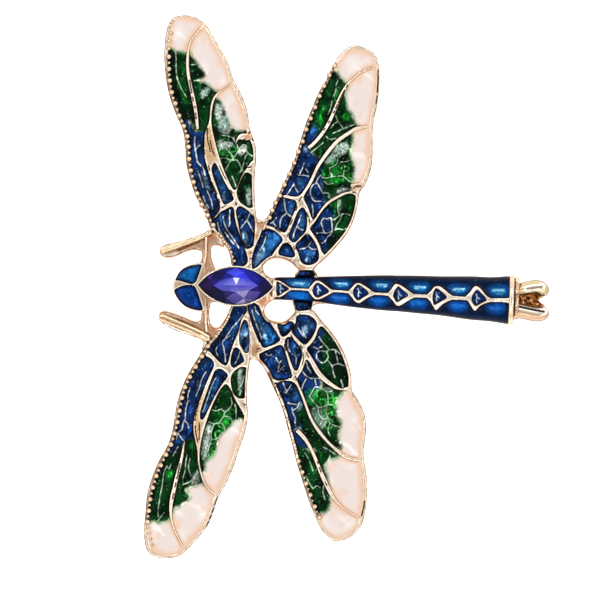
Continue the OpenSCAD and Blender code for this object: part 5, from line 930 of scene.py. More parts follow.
def gold_material(name, colour=None):
    m, nt, b = nodes_of(name)
    b.inputs["Metallic"].default_value = 1.0
    grain = noise(nt, 3400, 2.0, 0.6)
    cloud = noise(nt, 420, 2.0)
    base = tint(nt).outputs["Color"] if colour is None else mixed(nt, "MIX", colour, colour * 0.9, ramp(nt, cloud.outputs[0], [(0.3, 0.0), (0.7, 1.0)]))
    base = mixed(nt, "MULTIPLY", base, ramp(nt, grain.outputs[0], [(0.32, 0.62), (0.44, 0.97), (0.7, 1.0)]), 0.7)
    nt.links.new(base, b.inputs["Base Color"])
    nt.links.new(ramp(nt, cloud.outputs[0], [(0.3, 0.20), (0.7, 0.32)]), b.inputs["Roughness"])
    bump(nt, b, [(cloud.outputs[0], 0.6, 0.00008), (grain.outputs[0], 0.3, 0.000018)])
    return m

def product(nt, a, b):
    m = nt.nodes.new("ShaderNodeMath")
    m.operation = "MULTIPLY"
    for socket, v in zip(m.inputs, (a, b)):
        if hasattr(v, "is_output"):
            nt.links.new(v, socket)
        else:
            socket.default_value = v
    return m.outputs[0]

def glass_material(name, shine=0.045):
    m, nt, b = nodes_of(name)
    a = tint(nt)
    pool = noise(nt, 620, 2.0, 0.5)
    # painted glints in the base colour: bright streaks of the glass's own colour, and paler flecks
    glint_streak = noise(nt, 1700, 1.5, 0.5, stretch=(1.0, 0.45, 1.0))
    glint_fleck = noise(nt, 2900, 1.0, 0.5)
    gate = a.outputs["Alpha"]
    dim = mixed(nt, "MULTIPLY", a.outputs["Color"], ramp(nt, pool.outputs[0], [(0.38, 0.22), (0.5, 0.8), (0.62, 1.6)]), gate)
    # a brightened copy of the glass colour, for the painted glints
    glint_colour = mixed(nt, "MULTIPLY", a.outputs["Color"], (4.2, 4.2, 4.2), 1.0)
    base = mixed(nt, "MIX", dim, glint_colour, product(nt, ramp(nt, glint_streak.outputs[0], [(0.58, 0.0), (0.72, 0.9)]), gate))
    # paler still, for painted white flecks of glint
    pale = mixed(nt, "ADD", glint_colour, (0.10, 0.15, 0.15), 1.0)
    base = mixed(nt, "MIX", base, pale, product(nt, ramp(nt, glint_fleck.outputs[0], [(0.685, 0.0), (0.745, 0.8)]), gate))
    nt.links.new(base, b.inputs["Base Color"])
    b.inputs["Roughness"].default_value = 0.09
    b.inputs["IOR"].default_value = 1.5
    b.inputs["Specular IOR Level"].default_value = shine
    wob = noise(nt, 760, 1.5, 0.5)
    bump(nt, b, [(wob.outputs[0], product(nt, gate, 0.9), 0.00014), (glint_streak.outputs[0], product(nt, gate, 0.35), 0.00005)])
    return m

GOLD = gold_material("rose_gold_cast")
PLAIN_GOLD = gold_material("rose_gold_pin", srgb(236, 206, 170))
ENAMEL = glass_material("poured_enamel")
TAIL_ENAMEL = glass_material("tail_enamel", 0.03)
PITCH = 0.075

def round_edge(d, r):
    """How far a rounded edge of radius r lies below its top, as a share, at a distance d inside it."""
    return 1 - np.sqrt(np.maximum(1 - (1 - np.clip(d / r, 0, 1)) ** 2, 0))

def mix(a, b, f):
    return a + (b - a) * (f[..., None] if np.ndim(f) else f)

def rgba(c, a=1.0):
    return np.concatenate([c, np.broadcast_to(np.asarray(a, float)[..., None], (*c.shape[:-1], 1))], -1)

def metal_colour(d, slot, X, Y, pinkish=None):
    # painted shade: the rounded flanks near an edge go tan and the very edge dark brown while the top stays cream;
    # wider metal turns rose, and waves give an uneven tone
    c = mix(TAN, CREAM, step(0.04, 0.13, d))
    c = mix(c, ROSE, 0.8 * step(0.28, 0.50, d))
    if pinkish is not None:
        c = mix(c, PEACH, 0.7 * pinkish)
    c = mix(srgb(78, 46, 26), c, step(0.01, 0.11, d))
    c = c * (1 + 0.08 * waves(X, Y, 0.9, 4.0) + 0.07 * waves(X, Y, 0.33, 8.0))[..., None]
    return rgba(np.clip(mix(c, BROWN, slot), 0, 1))

def navette(length, width, n=48):
    r = (length * length / 4 + width * width / 4) / width
    a = math.asin(length / 2 / r)
    t = np.linspace(-a, a, n, endpoint=False)
    up = np.stack([r * np.sin(t), r * np.cos(t) - (r - width / 2)], 1)
    p = np.concatenate([up, -up])[::-1]
    c, s = math.cos(STONE_TURN), math.sin(STONE_TURN)
    return at([235.4, 286]) + np.stack([p[:, 0] * c - p[:, 1] * s, p[:, 0] * s + p[:, 1] * c], 1)

CUP_PLAN = navette(STONE_L + 2.4 * CUP_WALL, STONE_W + 2 * CUP_WALL)
TAIL_PLAN = np.concatenate([at([[r[0], r[1]] for r in TAIL_ROWS]), at([[r[0], r[2]] for r in TAIL_ROWS])[::-1]])

SIDES = {
  1: dict(key="right", metal=RIGHT_METAL, tab=RIGHT_TAB, wings={
    "fore": (RIGHT_FORE_EDGE, RIGHT_FORE_CELLS, [RIGHT_FORE_VEIN, RIGHT_FORE_BOSS], range(4, 15), 4.3),
    "hind": (RIGHT_HIND_EDGE, RIGHT_HIND_CELLS, [RIGHT_HIND_VEIN, RIGHT_HIND_BOSS], range(5, 19), 3.7)}),
  -1: dict(key="left", metal=LEFT_METAL, tab=LEFT_TAB, wings={
    "fore": (LEFT_FORE_EDGE, LEFT_FORE_CELLS, [LEFT_FORE_VEIN, LEFT_FORE_BOSS], range(3, 16), 4.1),
    "hind": (LEFT_HIND_EDGE, LEFT_HIND_CELLS, [LEFT_HIND_VEIN], range(6, 17), 3.9)})}
BASE = {"strip": "blush", "fan": "blush", "green": "green"}
REST = {("left_fore", "notch"): "blue"}

def build_side(side):
    me = SIDES[side]
    key = me["key"]
    pts = np.concatenate([lay(flat(w[0]), side) for w in me["wings"].values()] + [lay(q, side) for _, q in me["metal"]])
    g = Grid(pts, 0.75, PITCH)
    outer = np.full((g.ny, g.nx), -0.9)
    for edge, *_ in me["wings"].values():
        outer = np.maximum(outer, g.sd(lay(smooth(flat(edge), 5), side)))
    for _, q in me["metal"]:
        outer = np.maximum(outer, g.sd(lay(smooth(q, 4), side)))
    beads, dome, ringed = np.full_like(outer, -0.9), np.zeros_like(outer), np.zeros_like(outer)
    pearl = np.full_like(outer, 9.0)
    chain = np.zeros_like(outer)
    for centres, r in BEADS[key]:
        if r > 2.2:
            chain = np.maximum(chain, 1 - step(0.7 * r * MM, 1.15 * r * MM, g.near(lay(smooth_open(centres, 3), side), 0.6, False)))
        for c in lay(centres, side):
            rr = r * MM
            rho = np.hypot(g.X - c[0], g.Y - c[1])
            beads = np.maximum(beads, rr - rho)
            pearl = np.minimum(pearl, rho / rr)
            ringed = np.maximum(ringed, 1 - step(0.0, 0.075, np.abs(rho - rr)))
            dome = np.maximum(dome, np.where(rho < rr, 1.38 + 0.86 * rr * np.sqrt(np.maximum(1 - (rho / rr) ** 2, 0)), 0))
    outer = np.maximum(outer, beads)
    cup = g.sd(tilt(CUP_PLAN, side))
    tail = g.sd(tilt(TAIL_PLAN, side))
    hair, hair_w = np.full_like(outer, 0.9), np.full_like(outer, 0.1)
    cells, mid, edge_c, gem = {}, {}, {}, {}
    hair_d = {}
    for wing, (edge, chart, lines, lead, lead_w) in me["wings"].items():
        rim = np.array(edge, float)
        rim[list(lead), 2] = lead_w
        inner = g.sd(lay(inset_rim(smooth(rim, 5)), side))
        for l in lines:
            inner = np.minimum(inner, -g.sd(lay(ribbon(smooth_open(l, 3)), side)))
        inner = np.minimum(inner, -beads)
        dark = np.full_like(outer, 0.9)
        for w, line in HAIRS[f"{key}_{wing}"]:
            dark = np.minimum(dark, g.near(lay(smooth_open(line, 4), side), 0.9, False) - w * MM * 0.2)
        ring, pit = np.full_like(outer, 0.9), np.full_like(outer, -0.9)
        for k, (across, down, r) in enumerate(LOOPS.get(f"{key}_{wing}", [])):
            c = lay([[across, down]], side)[0]
            turn = np.arctan2(g.Y - c[1], g.X - c[0])
            rho = np.hypot(g.X - c[0], g.Y - c[1]) - r * MM * (1 + 0.14 * np.sin(2 * turn + 1.3 * k) + 0.08 * np.sin(3 * turn + 2.1 * k))
            ring, pit = np.minimum(ring, np.abs(rho)), np.maximum(pit, -rho)
        feather = waves(g.X, g.Y, 0.62, 2.0) + 0.6 * waves(g.X, g.Y, 0.3, 6.0)
        zones = [(cell, name, soft, g.sd(lay(smooth(q, 3), side))) for cell, name, soft, q in AREAS[f"{key}_{wing}"]]
        for name, q in chart:
            S = opened(np.minimum(g.sd(lay(smooth(q, 5), side)) + 0.055, inner + 0.02), 0.05, 2)
            if name == "root":
                S = np.minimum(S, -cup + 0.02)
            m0, e0, g0 = GLASS[REST.get((f"{key}_{wing}", name), BASE.get(name, "blue"))]
            M, E, G = np.broadcast_to(m0, (*S.shape, 3)).copy(), np.broadcast_to(e0, (*S.shape, 3)).copy(), np.full_like(S, g0)
            blush = np.full_like(S, 1.0 - g0)
            for cell, colour, soft, zone in zones:
                if cell in ("", name):
                    reach = soft * MM * (1.0 if colour.startswith(("pale", "light")) else 0.75)
                    wide = colour in ("green", "deep", "lightgreen")
                    f = step(-reach, reach, zone + 0.08 * feather)
                    # the painted highlights and reflections are broken up by waves
                    if colour.startswith(("pale", "light")):
                        f = f * np.clip(0.62 + 0.62 * waves(g.X, g.Y, 0.55, 9.0) + 0.3 * waves(g.X, g.Y, 0.25, 3.0), 0.05, 1)
                    m1, e1, g1 = GLASS[colour]
                    if wide:
                        f = f + (step(-1.7 * reach, 1.3 * reach, zone + 0.11 * feather) - f) * blush
                    M, E, G, blush = mix(M, m1, f), mix(E, e1, f), G + (g1 - G) * f, blush * (1 - f)
            if name == "fan":
                wet = step(0.55, 0.85, G) * step(0.02, 0.0, M[..., 2] - M[..., 1])
                M = mix(M, srgb(2, 40, 10), 0.85 * wet * step(0.02, 0.16, pit))
                lace = wet * step(0.17, 0.04, ring) * np.clip(0.75 + 0.5 * waves(g.X, g.Y, 0.9, 5.0), 0.2, 1)
                M, E = mix(M, srgb(44, 146, 52), lace), mix(E, srgb(20, 96, 30), 0.7 * lace)
            cells[(wing, name)] = (S, M, E, G, dark, blush)
    tab = g.sd(lay(smooth(me["tab"], 3), side))
    m0, e0, g0 = GLASS["blue"]
    cells[("", "tab")] = (tab, np.broadcast_to(m0, (*tab.shape, 3)), np.broadcast_to(e0, (*tab.shape, 3)), np.full_like(tab, g0), np.full_like(tab, 0.9), np.zeros_like(tab))
    sunk = np.max([c[0] for c in cells.values()], 0)
    body = np.minimum(np.minimum(outer, 0.15 - tail), 0.3 - cup)
    S = np.minimum(body, -sunk)

    slot = np.zeros_like(S)
    for line, w in SLOTS[key]:
        rho, hw = g.near(lay(smooth_open(line, 3), side), 0.5, False), max(w * MM / 2, 0.02)
        slot = np.maximum(slot, 1 - step(0.45 * hw, hw + 0.05, rho)) if w > 0.3 else slot
    z = TOP - 0.22 * round_edge(S, 0.27)
    metal = metal_colour(S, 0 * S, g.X, g.Y)[..., :3]
    metal = mix(metal, srgb(196, 158, 126), 0.85 * step(-0.2, 0.35, g.sd(lay(smooth(PLATES[key], 4), side))) * step(0.08, 0.2, S))
    metal = mix(metal, srgb(224, 184, 132), 0.7 * step(-0.3, 0.3, g.sd(lay(smooth(GOLDEN[key], 4), side))) * step(0.08, 0.2, S))
    for across, down, r in WARM[key]:
        c = lay([[across, down]], side)[0]
        metal = mix(metal, EMBER, 0.62 * step(r * MM, 0.25 * r * MM, np.hypot(g.X - c[0], g.Y - c[1])))
    for line, w, h in RODS[key]:
        rho, hw = g.near(lay(smooth_open(line, 4), side), 1.0, False), w * MM / 2
        # painted shade: a dark line round each rod where it meets the plate, and brown flanks beside its light top
        metal = mix(metal, srgb(128, 84, 56), 0.75 * step(hw + 0.14, hw, rho) * step(0.1, 0.25, outer))
        metal = mix(metal, mix(STRAW if w > 5 else srgb(240, 222, 198), srgb(176, 134, 92), step(0.55, 1.0, rho / hw)), 1.0 * (rho < hw))
        z = np.maximum(z, np.where(rho < hw, TOP - 0.1 + (h + 0.1) * np.sqrt(np.maximum(1 - (rho / hw) ** 2, 0)), 0))
    metal = mix(metal, srgb(122, 72, 42), 0.9 * step(0.15, 0.05, g.near(lay(smooth_open(LEG_LINES[key], 4), side), 0.6, False)))
    hub = step(8.0, 4.0, np.hypot(g.X - at([246, 286])[0], g.Y - at([246, 286])[1]))
    metal = mix(metal, srgb(218, 148, 98), 0.65 * hub * step(0.10, 0.26, S) * np.clip(0.6 + 0.7 * waves(g.X, g.Y, 2.2, 7.0), 0, 1))
    near = step(12.5, 6.5, np.hypot(g.X - at([246, 286])[0], g.Y - at([246, 286])[1]))
    near = near * step(at([222, 286])[0], at([232, 286])[0], g.X) * step(-0.1, 0.45, waves(g.X, g.Y, 2.3, 5.0))
    metal = mix(metal, BROWN * 1.6, 0.85 * near * step(0.27, 0.42, waves(g.X, g.Y, 0.62, 12.0)) * step(0.03, 0.12, S))
    z = np.maximum(z, dome) - 0.14 * slot + 0.012 * waves(g.X, g.Y, 1.3, 1.0)
    z = z - 0.45 * step(0.9, 0.0, -tail) * (tail > -0.9)
    chain = chain * step(0.0, 0.05, -beads)
    z = z - 0.10 * chain
    pinkish = np.max([c[5] * step(-0.85, -0.45, c[0]) for c in cells.values()], 0)
    # metal beside the pink enamel turns pinkish, darker at its very edge as painted shade
    metal = mix(metal, srgb(226, 202, 180) * (0.70 + 0.30 * step(0.0, 0.1, S))[..., None], 0.75 * pinkish)
    broken = np.clip(0.62 + 0.9 * waves(g.X, g.Y, 1.0, 13.0), 0, 1)
    metal = mix(metal, srgb(118, 84, 56), 0.9 * broken * step(0.21, 0.11, outer))
    # dark slots; and painted shade: dark rings round the beads' feet and in the sunken chain between them
    metal = np.clip(mix(metal, BROWN, np.maximum(slot, np.maximum(0.85 * ringed, 0.8 * chain))), 0, 1)
    # painted shade on each bead's dome: light top, darker towards its foot
    metal = mix(metal, mix(srgb(234, 206, 176), TAN * 0.5, step(0.3, 1.0, pearl)), pearl < 1)
    metal = mix(metal, srgb(3, 14, 50), step(-0.02, 0.06, g.sd(lay(JOINTS[key], side))))
    sheet = Sheet(S, PITCH * 0.04)
    x, y = sheet.take(g.X), sheet.take(g.Y)
    so, sc = sheet.take(body), sheet.take(sunk)

    def floor_of(loop):
        return (PLATE_T, True) if np.abs(sc[loop]).mean() < np.abs(so[loop]).mean() else (0.0, False)

    b = Build()
    relief(b, sheet, x, y, sheet.take(z), rgba(sheet.take(metal)), floor_of, world, side)
    under = Sheet(np.minimum(tab + 0.3, outer + 0.25), PITCH * 0.04)
    ux, uy = under.take(g.X), under.take(g.Y)
    relief(b, under, ux, uy, PLATE_T - 0.02 + 0 * ux, rgba(np.tile(TAN, (len(ux), 1))), lambda loop: (0.05, False), world, side)
    b.object(f"{key}_wings_metal", GOLD, 42, ["casting"])

    for (wing, name), (C, M, E, G, dark, blush) in cells.items():
        full = f"{key}_{wing}_{name}" if wing else f"{key}_{name}"
        C = C + (1 - G) * (0.05 + 0.12 * step(0.95, 0.55, outer) * step(0.08, 0.2, outer - beads))
        T = C + 0.035
        j, i = np.nonzero(T > 0)
        sl = (slice(max(j.min() - 2, 0), j.max() + 3), slice(max(i.min() - 2, 0), i.max() + 3))
        sheet = Sheet(T[sl], PITCH * 0.04)
        X, Y = g.X[sl], g.Y[sl]
        pool = np.minimum(C[sl], dark[sl])
        # painted shade, partly deeper enamel: the glass darkens from the middle of a pool towards the walls and the
        # raised hairs, and the blush warms towards its walls
        shade = (1 - G[sl]) * step(0.0, 0.85 + 0.35 * waves(X, Y, 3.1, 6.0), C[sl]) + G[sl] * step(0.03, 0.30, pool)
        col = mix(E[sl], M[sl], shade)
        line = (1 - step(-0.01, 0.06, dark[sl])) * np.clip(0.72 + 0.7 * waves(g.X[sl], g.Y[sl], 0.8, 7.0), 0.1, 1)
        pale = mix(srgb(240, 244, 236), np.clip(M[sl] * 7, 0, 0.85), 0.36)
        pale = mix(pale, srgb(112, 196, 122), 0.5 * step(0.0, 0.02, M[sl][..., 1] - M[sl][..., 2]) * G[sl])
        pale = mix(M[sl] * 0.97, pale, step(0.1, 0.5, G[sl]))
        col = mix(col, np.clip(pale, 0, 0.92), 0.9 * line)
        halo = 4 * blush[sl] * (1 - blush[sl]) * step(0.0, 0.12, C[sl])
        col = mix(col, srgb(132, 186, 128), 0.6 * halo * np.clip(0.6 + 0.6 * waves(g.X[sl], g.Y[sl], 1.4, 3.0), 0, 1))
        gemmed = G[sl] * (1 - 0.7 * line)
        h = 1.31 - 0.06 * step(0, 0.4, pool) * G[sl] + (0.20 + 0.05 * step(0, 0.8, C[sl])) * (1 - G[sl]) * step(-0.03, 0.10, C[sl])
        h = h + 0.04 * line * G[sl] + (0.008 + 0.02 * G[sl]) * waves(X, Y, 1.2, 3.0) * step(0, 0.2, C[sl])
        # painted sheen: soft white reflections across the pink enamel
        painted_sheen = step(0.0, 0.7, waves(X, Y, 4.5, 5.0)) * (1 - G[sl])
        col = mix(col, srgb(218, 208, 204), 0.8 * painted_sheen * step(0.1, 0.5, C[sl]))
        dry = (1 - G[sl]) * step(0.12, 0.4, C[sl])
        # painted highlights: thin white streaks across the pink enamel; the peach mottling after them is uneven tone
        bend = 0.5 * waves(X, Y, 3.4, 9.0)
        sheen_streak = waves(0.5 * X + 0.9 * Y + bend, 0.22 * (0.9 * X - 0.5 * Y), 2.3, 8.0 + side)
        col = mix(col, srgb(234, 226, 222), 0.6 * dry * step(0.35, 0.8, sheen_streak))
        col = mix(col, srgb(214, 178, 154), 0.5 * dry * step(0.15, 0.7, waves(X, Y, 2.9, 4.0 + side)))
        x, y = sheet.take(X), sheet.take(Y)
        b = Build()
        relief(b, sheet, x, y, sheet.take(h), rgba(sheet.take(col), sheet.take(gemmed)), lambda loop: (PLATE_T + GAP, False), world, side)
        b.object(f"{full}_glass", ENAMEL, 50, [f"{full}_enamel"], "blue enamel" if name not in ("strip", "fan", "green") else
                 ("green enamel" if name == "green" else "shaded enamel"))

def build_head():
    g = Grid(at(flat(HEAD_EDGE)), 0.4, 0.055)
    outer = g.sd(at(smooth(HEAD_EDGE, 6)))
    eyes = {"right": g.sd(at(smooth(RIGHT_EYE, 6))), "left": g.sd(at(smooth(LEFT_EYE, 6)))}
    sunk = np.maximum(eyes["right"], eyes["left"])
    S = np.minimum(outer, -sunk)
    sheet = Sheet(S, 0.002)
    x, y, d = sheet.take(g.X), sheet.take(g.Y), sheet.take(S)
    sc, so = sheet.take(sunk), sheet.take(outer)
    b = Build()
    c = metal_colour(d, 0 * d, x, y)
    warm = mix(srgb(232, 196, 156), srgb(202, 166, 134), step(at([198, 285])[0], at([202, 285])[0], x))
    c[..., :3] = mix(c[..., :3], warm, 0.9 * step(0.2, 0.32, -sc) * step(0.08, 0.18, so))
    relief(b, sheet, x, y, BASE_Z + HEAD_RIDGE - 0.16 * round_edge(d, 0.18), c,
           lambda l: (BASE_Z + HEAD_T, True) if np.abs(sc[l]).mean() < np.abs(so[l]).mean() else (BASE_Z, False), level, 0)
    b.object("head_metal", GOLD, 42, ["casting"])
    for key, chart, mid_c, edge_c in (("right", RIGHT_EYE, srgb(8, 78, 140), srgb(1, 12, 44)), ("left", LEFT_EYE, srgb(3, 48, 118), srgb(1, 8, 40))):
        p = at(flat(chart))
        c = (p.min(0) + p.max(0)) / 2
        C = eyes[key]
        sheet = Sheet(C + 0.03, 0.002)
        x, y, d = sheet.take(g.X), sheet.take(g.Y), np.maximum(sheet.take(C), 0)
        ball = BASE_Z + HEAD_T + EYE_H - EYE_BALL + np.sqrt(EYE_BALL ** 2 - (x - c[0]) ** 2 - (y - c[1]) ** 2)
        low = BASE_Z + HEAD_RIDGE - 0.12
        z = low + (ball - low) * np.sqrt(np.clip(d / 0.55, 0, 1))
        b = Build()
        relief(b, sheet, x, y, z, rgba(mix(edge_c, mid_c, step(0.0, 0.5, d)), 0.35 + 0 * d), lambda l: (BASE_Z + HEAD_T + GAP, False), level, 0)
        b.object(f"{key}_eye_glass", ENAMEL, 60, [f"{key}_eye_enamel"], "blue enamel")

def build_cup():
    g = Grid(CUP_PLAN, 0.3, 0.05)
    outer = g.sd(CUP_PLAN)
    room = g.sd(navette(STONE_L + 2 * GAP, STONE_W + 2 * GAP))
    S = np.minimum(outer, -room)
    sheet = Sheet(S, 0.002)
    x, y, d = sheet.take(g.X), sheet.take(g.Y), sheet.take(S)
    sr, so = sheet.take(room), sheet.take(outer)
    b = Build()
    # painted shade: the bezel's rim is dark brown at its rounded edges
    relief(b, sheet, x, y, CUP_Z - 0.1 * round_edge(d, 0.12), rgba(mix(BROWN, CREAM, step(0.0, 0.06, d))),
           lambda l: (CUP_Z - PAVILION_H - GAP, True) if np.abs(sr[l]).mean() < np.abs(so[l]).mean() else (BASE_Z + 0.04, False), level, 0)
    b.object("stone_cup_metal", GOLD, 42, ["casting"])

# ---- stone ----
# The stone's colours are painted light: each facet and the table carry the reflections and shade of a cut stone, and
# STONE_GLINT is a painted glint.
STONE_TABLE = [[213,285.7],[222,279.8],[235,276.8],[250,279.8],[258,285.7],[249,290.4],[236,291.8],[222,290.4]]
STONE_GLINT = [[233,277.9],[239.6,277.9],[236.4,284.6]]
FACETS = [  # [across, down] of a place on the stone, and the colour there
  ([205,282.5], srgb(8, 6, 34)), ([208.5,280.6], srgb(74, 30, 148)), ([203,288], srgb(8, 3, 22)), ([210,289], srgb(15, 6, 44)),
  ([216,277.5], srgb(14, 14, 84)), ([223,273.5], srgb(20, 22, 120)), ([229,271.5], srgb(26, 28, 150)), ([235.5,271.5], srgb(58, 64, 206)),
  ([243,271.5], srgb(40, 42, 186)), ([251,274.5], srgb(30, 30, 160)), ([258,278], srgb(24, 18, 130)), ([264,282], srgb(16, 8, 88)),
  ([269.5,285.5], srgb(3, 2, 16)), ([216,294], srgb(12, 8, 52)), ([223,297.5], srgb(16, 12, 66)), ([230.6,298.4], srgb(26, 22, 84)), ([235.6,297], srgb(74, 66, 136)),
  ([242.4,293.6], srgb(156, 146, 194)), ([240.6,300], srgb(150, 140, 190)), ([246,298.5], srgb(134, 122, 178)), ([250.6,295], srgb(78, 66, 146)),
  ([256,296], srgb(20, 12, 84)), ([260,291.5], srgb(20, 8, 78)),
  ([266,288.5], srgb(10, 3, 40))]
TABLE_TONES = [
  ([213,285.7], srgb(58, 60, 160)), ([222,279.8], srgb(56, 64, 170)), ([235,276.8], srgb(66, 72, 196)), ([250,279.8], srgb(70, 68, 200)),
  ([258,285.7], srgb(82, 74, 186)), ([249,290.4], srgb(108, 102, 190)), ([236,291.8], srgb(118, 116, 186)), ([222,290.4], srgb(74, 74, 164)),
  ([236.4,284.6], srgb(120, 118, 206))]

def build_stone():
    ring = navette(STONE_L, STONE_W, 8)
    table = at(STONE_TABLE)
    c = at([235.4, 286])
    ang = lambda p: np.arctan2((p[:, 1] - c[1]) * 2.0, p[:, 0] - c[0])
    ring = ring[np.argsort(ang(ring))]
    table = table[np.argsort(ang(table))]
    n = 16
    mids = np.array([0.40 * (table[i] + table[(i + 1) % 8]) / 2 + 0.60 * ring[(2 * i + 1) % n] for i in range(8)])
    zt, zm, zg = CUP_Z + CROWN_H, CUP_Z + 0.55 * CROWN_H, CUP_Z + 0.05
    v = [(*p, zt) for p in table] + [(*p, zm) for p in mids] + [(*p, zg) for p in ring] + [(*p, CUP_Z - 0.1) for p in ring]
    keel = [len(v), len(v) + 1]
    d = np.array([math.cos(STONE_TURN), math.sin(STONE_TURN)])
    v += [(*(c - 1.6 * d), CUP_Z - PAVILION_H), (*(c + 1.6 * d), CUP_Z - PAVILION_H)]
    v = np.array(v) - np.array([*MID, 0])
    off = int(np.argmin(np.linalg.norm(ring - table[0], axis=1)))
    G = lambda k: 16 + k % n
    L = lambda k: 32 + k % n
    glint = at(STONE_GLINT) - MID
    v = np.concatenate([v, np.concatenate([glint, np.full((3, 1), zt)], 1)])
    around = [Vector((*v[i][:2], 0)) for i in range(8)]
    hole = [Vector((*p, 0)) for p in glint]
    faces = [[(*range(8), len(v) - 3, len(v) - 2, len(v) - 1)[i] for i in t] for t in tessellate_polygon([around, hole])]
    faces = [f if loop_area(v[f][:, :2]) > 0 else f[::-1] for f in faces]
    tri = [len(v) - 3, len(v) - 2, len(v) - 1]
    faces.append(tri if loop_area(v[tri][:, :2]) > 0 else tri[::-1])
    shine = len(faces) - 1
    for i in range(8):
        m, mb = 8 + i, 8 + (i - 1) % 8
        faces += [[(i + 1) % 8, i, m], [i, mb, G(2 * i), m], [m, G(2 * i), G(2 * i + 1)], [m, G(2 * i + 1), G(2 * i + 2)]]
    for k in range(n):
        faces.append([G(k), L(k), L(k + 1), G(k + 1)])
    for k in range(n):
        x0, x1 = ring[k][0] - c[0], ring[(k + 1) % n][0] - c[0]
        e0, e1 = keel[int(x0 > 0)], keel[int(x1 > 0)]
        faces.append([L(k), e0, L(k + 1)] if e0 == e1 else [L(k), e0, e1, L(k + 1)])
    mesh = bpy.data.meshes.new("navette_stone")
    mesh.from_pydata((v / 1000).tolist(), [], faces)
    mesh.validate()
    col = mesh.attributes.new("tint", "FLOAT_COLOR", "CORNER")
    data = np.zeros((len(mesh.loops), 4), np.float32)
    def tone(chart, q, power):
        keys, colours = at([f[0] for f in chart]) - MID, np.array([f[1] for f in chart])
        w = 1 / (0.02 + (keys[:, 0] - q[0]) ** 2 + (keys[:, 1] - q[1]) ** 2) ** power
        return (colours * w[:, None]).sum(0) / w.sum()
    for p in mesh.polygons:
        mid = np.array(p.center[:2]) * 1000
        flat_top = p.center[2] * 1000 > zt - 0.01
        for l in p.loop_indices:
            place = np.array(mesh.vertices[mesh.loops[l].vertex_index].co) * 1000
            if flat_top:
                c = tone(TABLE_TONES, place[:2], 3)
            else:
                c = tone(FACETS, mid, 4) * (1.0 + 0.3 * math.sin(p.index * 2.4))
                # painted shade and light: facets darker towards the girdle and lighter towards the table
                c = c * (0.5 if place[2] < zg + 0.01 else (1.15 if place[2] > zm + 0.01 else 0.95))
            if p.index == shine:
                c = srgb(214, 214, 240)
            data[l] = (*np.clip(c, 0, 1), 1)
    col.data.foreach_set("color", data.ravel())
    m, nt, b = nodes_of("cut_stone")
    nt.links.new(mixed(nt, "MULTIPLY", tint(nt).outputs["Color"], ramp(nt, noise(nt, 900, 1.0).outputs[0], [(0.35, 0.75), (0.6, 1.0)]), 1.0), b.inputs["Base Color"])
    b.inputs["Roughness"].default_value = 0.04
    b.inputs["IOR"].default_value = 1.6
    b.inputs["Specular IOR Level"].default_value = 0.08
    mesh.materials.append(m)
    o = bpy.data.objects.new("navette_stone", mesh)
    bpy.context.scene.collection.objects.link(o)
    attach(o, "root")
    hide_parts("thorax_stone")
    TALLY["navette_stone"] = len(faces)

# ---- tail ----
def tail_lattice():
    rows = smooth_open(TAIL_ROWS, 6)
    along = np.arange(272.4, 511.6, 0.085 / MM)
    right, left = np.interp(along, rows[:, 0], rows[:, 1]), np.interp(along, rows[:, 0], rows[:, 2])
    c = at(np.stack([along, (right + left) / 2], 1))
    half = MM * math.cos(TURN) * (left - right) / 2
    return along, c, half

def tail_place(c, half, w, off):
    """w runs from -1 at the left foot through 0..1 over the back to 2 at the right foot."""
    a = np.clip(w, 0, 1) * math.pi
    foot = np.where(w < 0, -w, np.where(w > 1, w - 1, 0))
    y = c[..., 1] - (half + off) * np.cos(a)
    z = SPRING_Z + (half * TAIL_RISE + off) * np.sin(a) - foot * TAIL_EDGE
    return np.stack([c[..., 0] + 0 * w, y, z], -1)

def shell(build, sheet, top, bottom, colour):
    n = len(top)
    tris = [sheet.tris, sheet.tris[:, ::-1] + n]
    for loop in sheet.loops:
        a, b = loop, np.roll(loop, -1)
        tris += [np.stack([b, a, a + n], 1), np.stack([b, a + n, b + n], 1)]
    v, t = np.concatenate([top, bottom]), np.concatenate(tris)
    if np.sum(v[t[:, 0]] * np.cross(v[t[:, 1]], v[t[:, 2]])) < 0:
        t = t[:, ::-1]
    build.add(v, t, np.concatenate([colour, colour]))

